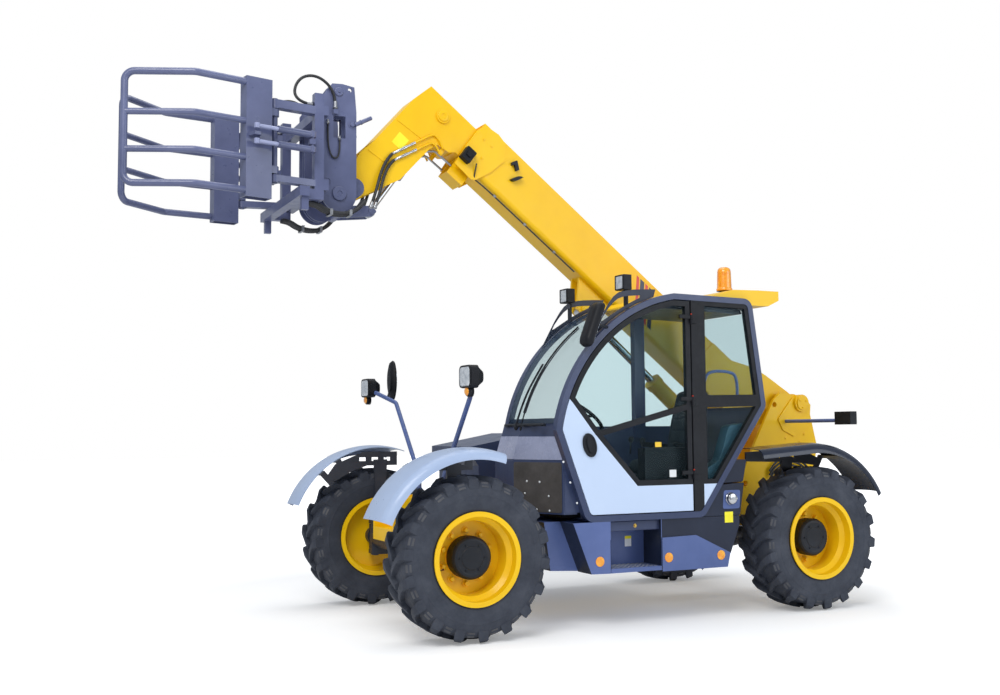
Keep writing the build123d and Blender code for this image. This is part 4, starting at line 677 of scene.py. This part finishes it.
for side, hand in SIDES:
    for k, mat in enumerate((amber, red_lens)):
        centre = (tail_low.x, side * (tail_high.y - 0.05 - k * 0.092), (tail_low.z + tail_high.z) / 2)
        lens(f"tail_lamp_{hand}_{k}", centre, (0, -1, 0), 0.043, 0.05, 0.01, mat, 0.008)

# beacon: a ribbed amber dome on a narrow stem
beacon_top = (roof_low.x + 0.066, 0.45, roof_high.z)
ribs = [(0.064 - 0.0003 * k - inset, -0.181 + rise_by + k * 0.0095)
        for k in range(14) for inset, rise_by in ((0, 0), (0.0022, 0.0045))]
Build().lathe([(0.068, -0.2065), (0.069, -0.2), (0.069, -0.186), (0.064, -0.183)] + ribs
              + [(0.059, -0.044), (0.0585, -0.036), (0.055, -0.02), (0.046, -0.006), (0.03, 0.0018),
                 (0.008, 0.003)], beacon_top, UP, 48).make("beacon_lens", amber)
Build().lathe([(0.044, -0.282), (0.046, -0.276), (0.044, -0.262), (0.0435, -0.21), (0.066, -0.2075)],
              beacon_top, UP, 40).make("beacon_base", black_plastic)

# -------------------- inside the cab
Build().slab(((-1.655, 2.395), (-0.86, 2.415), (-0.8, 2.44), (-0.93, 2.485), (-1.62, 2.455)),
             cab_low.y + 0.075, cab_high.y - 0.075, 0.02).make("roof_liner", slate_dark, slot="", bevel=0.004)
seat_low, seat_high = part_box("seat")


def pad_shape(name, low, high, tilt, taper):
    """Rounded block for one cushion, finely divided."""
    bm = bmesh.new()
    bmesh.ops.create_cube(bm, size=1.0)
    bmesh.ops.subdivide_edges(bm, edges=bm.edges[:], cuts=9, use_grid_fill=True)
    size, mid = high - low, (high + low) / 2
    turn = Matrix.Rotation(tilt, 3, "Y")
    for vert in bm.verts:
        x, y, z = (2 * v for v in vert.co)
        bulge = x * x * y * y + y * y * z * z + z * z * x * x
        pull = 1 - 0.16 * max(abs(x), abs(y), abs(z)) ** 2 * bulge / 3
        narrow = 1 - taper * (z + 1) / 2
        vert.co = mid + turn @ (Vector((x * size.x / 2, y * size.y / 2 * narrow, z * size.z / 2)) * pull)
    mesh = bpy.data.meshes.new(name)
    bm.to_mesh(mesh)
    bm.free()
    obj = bpy.data.objects.new(name, mesh)
    scene.collection.objects.link(obj)
    return obj


def puff(obj, cap, frames=20):
    """Swell a cushion with cloth pressure, hold its movement to a cap and keep the result."""
    for other in bpy.context.selected_objects:
        other.select_set(False)
    bpy.context.view_layer.objects.active = obj
    obj.select_set(True)
    remesh = obj.modifiers.new("remesh", "REMESH")
    remesh.mode = "VOXEL"
    remesh.voxel_size = 0.009
    bpy.ops.object.modifier_apply(modifier=remesh.name)
    before = [v.co.copy() for v in obj.data.vertices]
    cloth = obj.modifiers.new("cloth", "CLOTH")
    cloth.settings.use_pressure = True
    cloth.settings.uniform_pressure_force = 4
    cloth.settings.effector_weights.gravity = 0
    cloth.settings.quality = 4
    cloth.point_cache.frame_start = 1
    cloth.point_cache.frame_end = frames
    for step in range(1, frames + 1):
        scene.frame_set(step)
    swollen = obj.evaluated_get(bpy.context.evaluated_depsgraph_get())
    after = [v.co.copy() for v in swollen.data.vertices]
    obj.modifiers.remove(cloth)
    scene.frame_set(1)
    for vert, old, new in zip(obj.data.vertices, before, after):
        move = new - old
        if move.length > cap:
            move *= cap / move.length
        vert.co = old + move
    smooth = obj.modifiers.new("smooth", "SMOOTH")
    smooth.factor = 0.5
    smooth.iterations = 6
    bpy.ops.object.modifier_apply(modifier=smooth.name)


def cushion(name, low, high, seams, is_back, tilt=0.0, taper=0.0):
    """Padded piece with sewn channels pressed into the face that the driver meets."""
    obj = pad_shape(name, low, high, tilt, taper)
    puff(obj, 0.012)
    mid, half = (high + low) / 2, (high - low) / 2
    there, back = Matrix.Rotation(tilt, 3, "Y"), Matrix.Rotation(-tilt, 3, "Y")
    for vert in obj.data.vertices:
        local = back @ (vert.co - mid)
        face, run = local.x / half.x, local.z / half.z
        if not is_back:
            face, run = run, face
        side = abs(local.y) / half.y
        if face > 0.2:
            depth = max(0, 1 - abs(side - 0.62) / 0.05)
            if side < 0.62:
                depth = max([depth] + [1 - abs(run - seam) / 0.045 for seam in seams])
            vert.co -= there @ (Vector(AHEAD if is_back else UP) * 0.009 * depth)
    for face in obj.data.polygons:
        face.use_smooth = True
    obj.data.materials.append(fabric)
    fine = obj.modifiers.new("fine", "SUBSURF")
    fine.levels = 1
    fine.render_levels = 1
    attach(obj, "machine")
    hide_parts("seat")


cushion("seat_cushion", Vector((seat_high.x - 0.486, 0.475, seat_low.z + 0.008)),
        Vector((seat_high.x - 0.012, 0.935, seat_low.z + 0.118)), (-0.35, 0.2, 0.7), False)
back_mid, back_half = Vector((seat_low.x + 0.128, 0.705, seat_high.z - 0.319)), Vector((0.052, 0.215, 0.29))
cushion("seat_back", back_mid - back_half, back_mid + back_half, (-0.6, -0.25, 0.1, 0.45), True,
        tilt=radians(-12), taper=0.1)
rests = Build()
for y in (0.462, 0.926):
    rests.slab(((-1.34, 1.3), (-1.06, 1.33), (-1.04, 1.35), (-1.06, 1.372), (-1.35, 1.345)),
               y, y + 0.022, 0.02)
rests.make("seat_arm_rests", black_plastic, bevel=0.003)
knobs = Build()
for x, y, z, lean in ((-0.125, 0.985, 1.48, 0.1), (-0.6, 1.005, 1.395, -0.1), (-0.69, 1.02, 1.385, -0.15)):
    knobs.lathe([(0.006, 0), (0.006, 0.085), (0.013, 0.09), (0.021, 0.104), (0.022, 0.118), (0.014, 0.132),
                 (0.004, 0.136)], (x, y, z - 0.11), (lean, 0, 1), 20)
knobs.make("control_levers", black_plastic)
at = frame_of((-0.105, 0.6, 1.47), LEFTWARD, (0.35, 0, 0.94))
Build().loft([square(at, 0.075 * g, 0.055 * g, 0.012, c) for g, c in (
    (1, 0.03), (1, 0.0), (0.96, -0.006))]).make("dash_display", black_plastic)
tube("grab_rail", flat(((-1.6, 1.7), (-1.62, 1.9), (-1.5, 1.935), (-1.33, 1.93), (-1.28, 1.86),
                        (-1.26, 1.72)), 1.04), 0.012, slate_light)
Build().slab(((-1.66, 1.52), (-1.5, 1.5), (-1.4, 1.22), (-1.26, 1.16), (-1.2, 0.86), (-1.28, 0.86),
              (-1.66, 1.4)), 0.955, 1.062, 0.03).make("rear_console", teal_plastic, bevel=0.006)

# -------------------- cowl, skirts and step
wall_start, wall_end = Vector((0.03, 1.08, 0)), Vector((0.225, 0.64, 0))
along_wall = (wall_end - wall_start).normalized()
out_of_wall = Vector((abs(along_wall.y), along_wall.x, 0))


def on_wall(s, z, out=0.0):
    """Point on the cowl's slanted wall, s metres from its outboard edge."""
    return wall_start + along_wall * s + out_of_wall * out + Vector((0, 0, z))


plate("cowl_panel", [on_wall(s, z, 0.0006) for s, z in ((0.012, 0.862), (0.012, 1.232), (0.47, 1.232),
                                                        (0.47, 0.862))],
      out_of_wall * 0.004, mesh_brown, bevel=0.0008, radius=0.02)
plate("cowl_side_panel", flat(((0.022, 0.862), (0.022, 1.232), (-0.055, 1.232), (-0.115, 1.1),
                               (-0.115, 0.862)), cab_high.y - 0.0596),
      (0, 0.003, 0), slate, bevel=0.0008, radius=0.012)

# plan of the cowl's tapered upper part: each corner at its foot and at its top
COWL_FOOT, COWL_TOP = 1.24, 1.52
COWL_EDGES = (((0.03, 1.08), (0.1, 1.08)), ((0.225, 0.64), (0.14, 0.64)),
              ((0.225, 0.33), (0.14, 0.33)))


def cowl_corner(edge, z):
    foot, top = (Vector((*spot, z)) for spot in edge)
    return foot.lerp(top, (z - COWL_FOOT) / (COWL_TOP - COWL_FOOT))


for k in range(2):
    a, b = COWL_EDGES[k:k + 2]
    spots = [cowl_corner(a, 1.252), cowl_corner(b, 1.252), cowl_corner(b, 1.425), cowl_corner(a, 1.425)]
    out = (spots[1] - spots[0]).cross(spots[3] - spots[0]).normalized()
    out = -out if out.x < 0 else out
    plate(f"cowl_top_{k}", [p + out * 0.0005 for p in spots], out * 0.003, cowl_light, bevel=0.0008,
          radius=0.01)
rivets = Build()
RIVET = [(0.0085, 0), (0.008, 0.003), (0.005, 0.0055), (0.001, 0.006)]
for s, z in ((0.34, 1.089), (0.218, 1.086), (0.36, 0.998), (0.385, 0.985), (0.133, 0.983), (0.247, 0.882),
             (0.127, 0.876)):
    rivets.lathe(RIVET, on_wall(s, z, 0.0044), out_of_wall, 14)
for spot in flat(((0.061, 1.239), (0.006, 1.088), (-0.049, 0.937)), cab_high.y - 0.001):
    rivets.lathe(RIVET, spot, LEFTWARD, 14)
rivets.make("cowl_rivets", white_paint)
hinge = Build().lathe([(0.011, 0), (0.011, 0.66)], (0.148, 0.36, 1.512), LEFTWARD, 16)
for k in range(5):
    hinge.box((0.128, 0.395 + k * 0.14, 1.5), (0.168, 0.445 + k * 0.14, 1.506))
hinge.make("cowl_hinge", black_metal, bevel=0.001)

cover_inner = cab_high.y - 0.22
cover = Build().slab(((-1.185, 0.792), (-1.372, 1.036), (-1.585, 1.046), (-1.54, 0.792)),
                     cover_inner, cab_high.y - 0.0145, 0.01, 2)
cover.slab(((-1.372, 1.044), (-1.5, 1.225), (-1.628, 1.228), (-1.588, 1.052)),
           cover_inner, cab_high.y - 0.03, 0.01, 2)
cover.make("rear_cover", slate_dark, bevel=0.003)
filler = Vector((-1.447, cab_high.y - 0.0145, 0.925))
cap = Build().lathe([(0.05, -0.002), (0.05, 0.01), (0.046, 0.014), (0.046, 0.02), (0.042, 0.034),
                     (0.034, 0.04), (0.01, 0.042)], filler, LEFTWARD, 40)
cap.box(filler + Vector((-0.034, 0.036, -0.007)), filler + Vector((0.034, 0.052, 0.007)))
cap.make("filler_cap", steel, bevel=0.0015)
plate("filler_plate", flat(((-1.535, 0.845), (-1.372, 0.845), (-1.385, 0.99), (-1.545, 0.99)),
                           cab_high.y - 0.0148), (0, 0.002, 0), slate_light, bevel=0.0005, radius=0.02)
tread = Build()
for k in range(11):
    for j in range(5):
        x, y = -0.765 + k * 0.0415, 0.905 + j * 0.046
        tread.box((x, y, 0.4395), (x + 0.026, y + 0.012, 0.4435))
tread.make("step_tread", zinc, bevel=0.0008)
Build().loft([rounded([Vector((x, y, z)) for y, z in ((0.955, 0.7), (1.105, 0.712), (1.105, 0.786),
                                                      (0.955, 0.786))], 0.008, 3)
              for x in (-0.786, -0.332)]).make("step_sill", slate, bevel=0.001)
Build().bolt((-0.57, 1.105, 0.748), LEFTWARD, 0.01, 0.009).make("sill_bolt", brass)
skirt_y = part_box("side_skirts")[1].y
seams = Build()
for x in (-0.332, -0.788):
    seams.box((x - 0.0015, skirt_y - 0.001, 0.412), (x + 0.0015, skirt_y + 0.0004, 0.655))
seams.make("skirt_seams", black_plastic, slot="")

# -------------------- engine side and chassis
hood_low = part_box("engine_hood")[0]
tank_low, tank_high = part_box("right_tank")
Build().box((hood_low.x + 0.1, hood_low.y + 0.01, 1.02),
            (hood_low.x + 1.14, hood_low.y + 0.016, 1.25)).make("grille_backing", black_plastic)
SLAT = ((0.001, 0.0), (0.01, 0.012), (0.01, 0.015), (0.001, 0.003))
slats = Build()
for k in range(9):
    x = hood_low.x + 0.14 + k * 0.11
    for j in range(7):
        z = 1.058 + j * 0.026
        slats.loft([[Vector((end, hood_low.y + a, z + b)) for a, b in SLAT]
                    for end in (x + 0.001, x + 0.059)])
slats.make("grille_slats", black_metal)
latches = Build()
for x in (hood_low.x + 0.3, hood_low.x + 1.2):
    latches.lathe([(0.03, -0.001), (0.03, 0.006), (0.024, 0.009)], (x, hood_low.y, 1.33), (0, -1, 0), 28)
    latches.box((x - 0.008, hood_low.y - 0.016, 1.306), (x + 0.008, hood_low.y - 0.004, 1.354))
latches.make("hood_latches", black_plastic, bevel=0.0015)
cap = Build().lathe([(0.048, -0.001), (0.048, 0.012), (0.043, 0.018), (0.043, 0.034), (0.036, 0.04)],
                    (tank_low.x + 0.22, tank_low.y, 0.64), (0, -1, 0), 36)
cap.make("fuel_cap", black_plastic, bevel=0.001)
for name, x, z, side in (("0", -0.238, 0.501, 1), ("1", -0.847, 0.499, 1), ("2", -1.335, 0.492, 1),
                         ("right_0", tank_low.x + 0.1, 0.56, -1), ("right_1", tank_high.x - 0.16, 0.56, -1)):
    y = skirt_y - 0.0004 if side > 0 else tank_low.y + 0.0004
    Build().lathe([(0.037, -0.0005), (0.037, 0.0028), (0.037 * 0.96, 0.004)], (x, y, z), (0, side, 0),
                  36).make(f"reflector_{name}", amber)
keepers = Build()
for side, _ in SIDES:
    for degrees in (35, 155, 275):
        c, s = cos(radians(degrees)), sin(radians(degrees))
        keepers.bolt(pivot + Vector((c * 0.0405, side * 0.2815, s * 0.0405)), (0, side, 0), 0.008, 0.009)
    for spot in flat(((-2.985, 1.42), (-2.93, 1.345), (-2.77, 1.385)), side * 0.2295):
        keepers.bolt(spot, (0, side, 0), 0.011, 0.011)
keepers.make("pivot_bolts", yellow, bevel=0.0008)
for k in range(3):
    y, z = 0.262, 1.12 + 0.035 * k
    tube(f"frame_hose_{k}", [(-2.55, y, z - 0.1), (-2.62, y, z), (-2.78, y + 0.02, z + 0.03),
                             (-2.95, y + 0.01, z - 0.03), (-3.03, y - 0.005, z - 0.12)], 0.01, hose_rubber)

# -------------------- boom
boom_face = 0.14
for side, hand in SIDES:
    y, sideways = side * (boom_face - 0.0002), (0, side, 0)
    for k, (u0, u1, mat) in enumerate(((2.016, 1.982, red_paint), (1.968, 1.918, navy_stripe),
                                       (1.904, 1.87, red_paint), (1.856, 1.806, navy_stripe))):
        spots = ((u0, -0.168), (u1, -0.168), (u1 - 0.192, -0.462), (u0 - 0.192, -0.462))
        plate(f"stripe_{hand}_{k}", [on_boom(*spot, y) for spot in spots], (0, side * 0.001, 0), mat, "boom",
              bevel=0)
    bolts = Build()
    for u, w in ((3.817, -0.251), (3.73, -0.249), (3.732, -0.387)):
        bolts.bolt(on_boom(u, w, side * 0.1538), sideways, 0.011, 0.008)
    bolts.lathe([(0.034, 0), (0.034, 0.004), (0.03, 0.007), (0.012, 0.008)],
                on_boom(2.2, -0.705, side * 0.0848), sideways, 28)
    bolts.make(f"collar_bolts_{hand}", yellow, "boom", bevel=0.0006)
at = frame_of(on_boom(3.845, -0.47, 0.1545), reach, rise)
sensor = Build()
sensor.loft([square(at, 0.048 * g, 0.058 * g, 0.01, c) for g, c in ((1, 0), (1, -0.05), (0.94, -0.058))])
sensor.loft([square(at, 0.02, 0.02, 0.006, c) for c in (-0.058, -0.072)])
sensor.make("sensor_box", black_plastic, "boom", bevel=0.001)
plate("sensor_bracket", [on_boom(u, w, 0.1535) for u, w in (
    (3.895, -0.5), (3.72, -0.46), (3.665, -0.575), (3.7, -0.6), (3.88, -0.59))],
      (0, 0.005, 0), yellow, "boom", bevel=0.0008, radius=0.02)
hook_y = boom_face - 0.001
hook = Build().prism(rounded([on_boom(u, w, hook_y) for u, w in (
    (3.515, -0.231), (3.489, -0.183), (3.425, -0.235), (3.44, -0.262), (3.483, -0.226),
    (3.497, -0.25))], 0.006, 2), (0, 0.03, 0))
crescent = [on_boom(3.437 - 0.075 * k / 8, -0.352 + 0.085 * k / 8 + belly * sin(pi * k / 8), hook_y)
            for belly, steps in ((-0.03, range(9)), (0.022, range(8, -1, -1))) for k in steps]
hook.prism(crescent, (0, 0.045, 0)).make("boom_hooks", black_metal, "boom", bevel=0.0015)
tube("boom_cable", [on_boom(*spot) for spot in (
    (3.745, -0.47, 0.18), (3.72, -0.52, 0.176), (3.68, -0.575, 0.15), (3.64, -0.56, 0.131),
    (3.5, -0.548, 0.121), (3.0, -0.548, 0.121), (2.5, -0.548, 0.121))], 0.006, hose_rubber, "boom")
clips = Build()
for u in (3.45, 3.1, 2.75):
    at = frame_of(on_boom(u, -0.545, 0.121), reach, rise)
    clips.loft([[at(a, 0.0115 * c, 0.0115 * s) for c, s in around(16)] for a in (-0.012, 0.012)])
clips.make("cable_clips", zinc, "boom", bevel=0.0008)

# nose: raised ribs, a blank label, two pipes and their hoses down to the tool's pivot
nose_face = 0.122
NOSE_RUNS = (((4.03, -0.56), (4.075, -0.53), (4.15, -0.515), (4.18, -0.56), (4.232, -0.69)),
             ((4.02, -0.61), (4.065, -0.59), (4.12, -0.58), (4.145, -0.62), (4.19, -0.728)))
NOSE_TAILS = (((4.318, -0.895), (4.325, -0.96), (4.3, -1.08), (4.235, -1.235), (4.205, -1.33)),
              ((4.275, -0.925), (4.285, -0.985), (4.262, -1.09), (4.205, -1.225), (4.178, -1.31)))
for side, hand in SIDES:
    ribs = Build()
    for start, end in (((4.452, -0.64), (4.21, -0.615)), ((4.48, -1.0), (4.33, -0.985))):
        a, b = (on_boom(*spot, side * (nose_face - 0.0005)) for spot in (start, end))
        across = (b - a).normalized().cross(Vector(LEFTWARD)) * 0.007
        ribs.prism([a + across, b + across, b - across, a - across], (0, side * 0.006, 0))
    ribs.lathe([(0.044, 0), (0.044, 0.006), (0.038, 0.009), (0.02, 0.009), (0.018, 0.004), (0.008, 0.004)],
               on_boom(4.189, -0.344, side * 0.1358), (0, side, 0), 40)
    ribs.make(f"nose_ribs_{hand}", yellow, "telescope", bevel=0.0015)
    at = frame_of(on_boom(4.33, -0.76, side * (nose_face - 0.0002)), reach, rise)
    plate(f"nose_label_{hand}", [at(*spot) for spot in corners(-0.05, 0.05, -0.055, 0.055)],
          (0, side * 0.001, 0), sticker_bright, "telescope", bevel=0)
    y = nose_face + 0.013
    for k, (run, tail) in enumerate(zip(NOSE_RUNS, NOSE_TAILS)):
        steel_pipe = [on_boom(u, w, side * y) for u, w in run]
        tube(f"nose_line_{hand}_{k}", steel_pipe, 0.008, yellow, "telescope")
        hose = [on_boom(u, w, side * (y + 0.009 * n)) for n, (u, w) in enumerate(tail)]
        line = hose[0] - steel_pipe[-1]
        Build().lathe([(0.0085, -0.004), (0.0125, 0.0), (0.0125, 0.03), (0.0105, 0.034), (0.0105, 0.08),
                       (0.0135, 0.084), (0.0135, 0.12), (0.0115, 0.124), (0.0115, line.length - 0.002)],
                      steel_pipe[-1], line, 20).make(f"nose_fitting_{hand}_{k}", steel, "telescope")
        tube(f"nose_hose_{hand}_{k}", hose, 0.0125, hose_rubber, "telescope")
        Build().lathe([(0.0135, -0.006), (0.0145, 0.0), (0.0145, 0.03), (0.017, 0.031), (0.017, 0.046),
                       (0.01, 0.05)], hose[-1], hose[-1] - hose[-2],
                      20).make(f"nose_hose_end_{hand}_{k}", zinc, "telescope")

# -------------------- carriage and clamp
for side, hand in SIDES:
    sideways = (0, side, 0)
    bosses = Build()
    bosses.lathe([(0.034, -0.001), (0.034, 0.008), (0.03, 0.012), (0.012, 0.013)],
                 (1.51, side * 0.308, 4.045), sideways, 32)
    bosses.bolt((1.51, side * 0.3205, 4.045), sideways, 0.009, 0.008, washer=False)
    bosses.bolt((1.403, side * 0.3075, 3.8), sideways, 0.02, 0.022)
    bosses.lathe([(0.026, -0.001), (0.026, 0.006), (0.021, 0.006), (0.021, 0.001)],
                 (1.595, side * 0.308, 3.35), sideways, 28)
    bosses.lathe([(0.055, -0.001), (0.055, 0.012), (0.05, 0.016), (0.022, 0.016), (0.02, 0.01)],
                 (1.504, side * 0.308, 3.262), sideways, 40)
    bosses.make(f"carriage_bosses_{hand}", tool_paint, "tool", bevel=0.001)
    root, aim = (1.385, side * 0.322, 3.8), (-0.8, 0, 0.42)
    lever = Build().lathe([(0.016, 0), (0.016, 0.145), (0.013, 0.15)], root, aim, 20)
    lever.lathe([(0.019, 0.05), (0.019, 0.06)], root, aim, 20)
    lever.make(f"lock_lever_{hand}", tool_paint, "tool", bevel=0.001)
    tube(f"latch_hose_{hand}", [(1.596, side * 0.3175, 3.79), (1.6, side * 0.32, 3.65),
                                (1.575, side * 0.322, 3.545), (1.535, side * 0.322, 3.52),
                                (1.502, side * 0.32, 3.57), (1.505, side * 0.3175, 3.672)],
         0.0065, hose_rubber, "tool")
    ends = Build()
    for spot in flat(((1.596, 3.785), (1.505, 3.668)), side * 0.3185):
        ends.lathe([(0.0105, 0), (0.0105, 0.022), (0.0085, 0.024), (0.0085, 0.034)], spot, UP, 14)
    ends.make(f"latch_hose_ends_{hand}", zinc, "tool")
    couplings = Build()
    couplings.lathe([(0.018, 0.0), (0.018, 0.02), (0.0145, 0.022), (0.0145, 0.062), (0.0125, 0.064)],
                    (1.54, side * 0.323, 3.9), UP, 20)
    couplings.lathe([(0.018, 0.0), (0.018, 0.018), (0.0145, 0.02), (0.0145, 0.05), (0.0125, 0.052)],
                    (1.747, side * 0.45, 3.88), AHEAD, 20)
    couplings.make(f"hose_couplings_{hand}", zinc, "tool")
    # hoses that run under the carriage to the rams, in two clamps
    for k in range(3):
        tube(f"ram_hose_{hand}_{k}", flat(((1.33, 3.215 - 0.004 * k), (1.37, 3.15), (1.45, 3.098),
                                           (1.545, 3.088), (1.64, 3.11), (1.7, 3.15), (1.76, 3.155)),
                                          side * (0.345 + 0.034 * k)), 0.0155, hose_rubber, "tool")
    clamps = Build()
    for x, z in ((1.45, 3.1), (1.6, 3.096)):
        for y0, y1, z0, z1 in ((0.325, 0.432, -0.022, -0.017), (0.308, 0.432, 0.017, 0.023),
                               (0.322, 0.328, -0.022, 0.023), (0.425, 0.431, -0.022, 0.023)):
            y0, y1 = sorted((side * y0, side * y1))
            clamps.box((x - 0.011, y0, z + z0), (x + 0.011, y1, z + z1))
    clamps.make(f"hose_clamps_{hand}", zinc, "tool", bevel=0.001)
    collars = Build()
    for z in (3.262, 3.8):
        collars.lathe([(0.038, -0.006), (0.038, 0.0), (0.036, 0.0005)], (2.05, side * 0.505, z), UP, 32)
    collars.make(f"pin_collars_{hand}", tool_paint, "tool", bevel=0.001)

# -------------------- stage, light and camera
def seen_ray(tree):
    """1 for what the camera sees, straight or through glass."""
    path = add_node(tree, "LightPath", {})
    return add_node(tree, "Math", {0: path.outputs["Is Camera Ray"], 1: path.outputs["Is Transmission Ray"]},
                    operation="MAXIMUM").outputs[0]


# the floor glows white for the camera, less so near the machine, where it keeps the shadow
floor_mat, tree, shader = new_material("floor_white")
place = add_node(tree, "TexCoord", {}).outputs["Object"]
place = add_node(tree, "Mapping", {0: place, "Scale": (0.11, 0.11, 0.11)}).outputs[0]
spread = add_node(tree, "TexGradient", {0: place}, gradient_type="SPHERICAL").outputs["Fac"]
glow = grey_range(tree, spread, 1.0, 0.22, 0.25, 0.66)
shine = add_node(tree, "Math", {0: seen_ray(tree), 1: glow}, operation="MULTIPLY").outputs[0]
plug(tree, shader, {
    "Base Color": ramp(tree, noise(tree, 0.5), [(0.3, (0.9, 0.9, 0.9)), (0.7, (0.92, 0.92, 0.92))]),
    "Roughness": 0.9, "Specular IOR Level": 0.1, "Emission Color": (1, 1, 1, 1), "Emission Strength": shine})
bpy.ops.mesh.primitive_plane_add(size=120, location=(0, 0, -0.001))
floor = bpy.context.object
floor.name = "floor"
floor.data.materials.append(floor_mat)

scene.world = bpy.data.worlds.new("studio")
scene.world.use_nodes = True
tree = scene.world.node_tree
tree.nodes.clear()
soft = add_node(tree, "Background", {"Color": (0.86, 0.92, 1.0, 1), "Strength": 0.5})
plain = add_node(tree, "Background", {"Color": (1, 1, 1, 1), "Strength": 1.0})
mix = add_node(tree, "MixShader", {0: seen_ray(tree), 1: soft.outputs[0], 2: plain.outputs[0]})
add_node(tree, "OutputWorld", {0: mix.outputs[0]})

for name, place, aim, size, power, colour in (
        ("key", (5.5, 6.5, 8.5), (0, 0, 1.4), (5, 5), 560, (1.0, 0.98, 0.95)),
        ("fill", (-6.0, 8.0, 4.0), (-0.5, 0, 1.4), (6, 5), 240, (0.92, 0.96, 1.0)),
        ("top", (0, -1.0, 9.5), (0, 0, 1.5), (8, 6), 300, (1, 1, 1))):
    lamp = bpy.data.lights.new(name, "AREA")
    lamp.shape = "RECTANGLE"
    lamp.size, lamp.size_y = size
    lamp.energy = power
    lamp.color = colour
    obj = bpy.data.objects.new(name, lamp)
    scene.collection.objects.link(obj)
    obj.location = place
    obj.rotation_euler = (Vector(aim) - Vector(place)).to_track_quat("-Z", "Y").to_euler()

CAMERA_PLACE = (4.0853, 8.3662, 1.4602)
YAW, PITCH, ROLL = -0.4529, 0.075, -0.0076
forward = Vector((sin(YAW) * cos(PITCH), -cos(YAW) * cos(PITCH), sin(PITCH)))
right = Vector((-cos(YAW), -sin(YAW), 0))
up = right.cross(forward)
axes = (right * cos(ROLL) + up * sin(ROLL), up * cos(ROLL) - right * sin(ROLL), -forward)
lens_data = bpy.data.cameras.new("camera")
lens_data.lens = 40.5
lens_data.sensor_width = 36
camera = bpy.data.objects.new("camera", lens_data)
scene.collection.objects.link(camera)
camera.matrix_world = Matrix.Translation(CAMERA_PLACE) @ Matrix(axes).transposed().to_4x4()
scene.camera = camera
scene.view_settings.view_transform = "Standard"
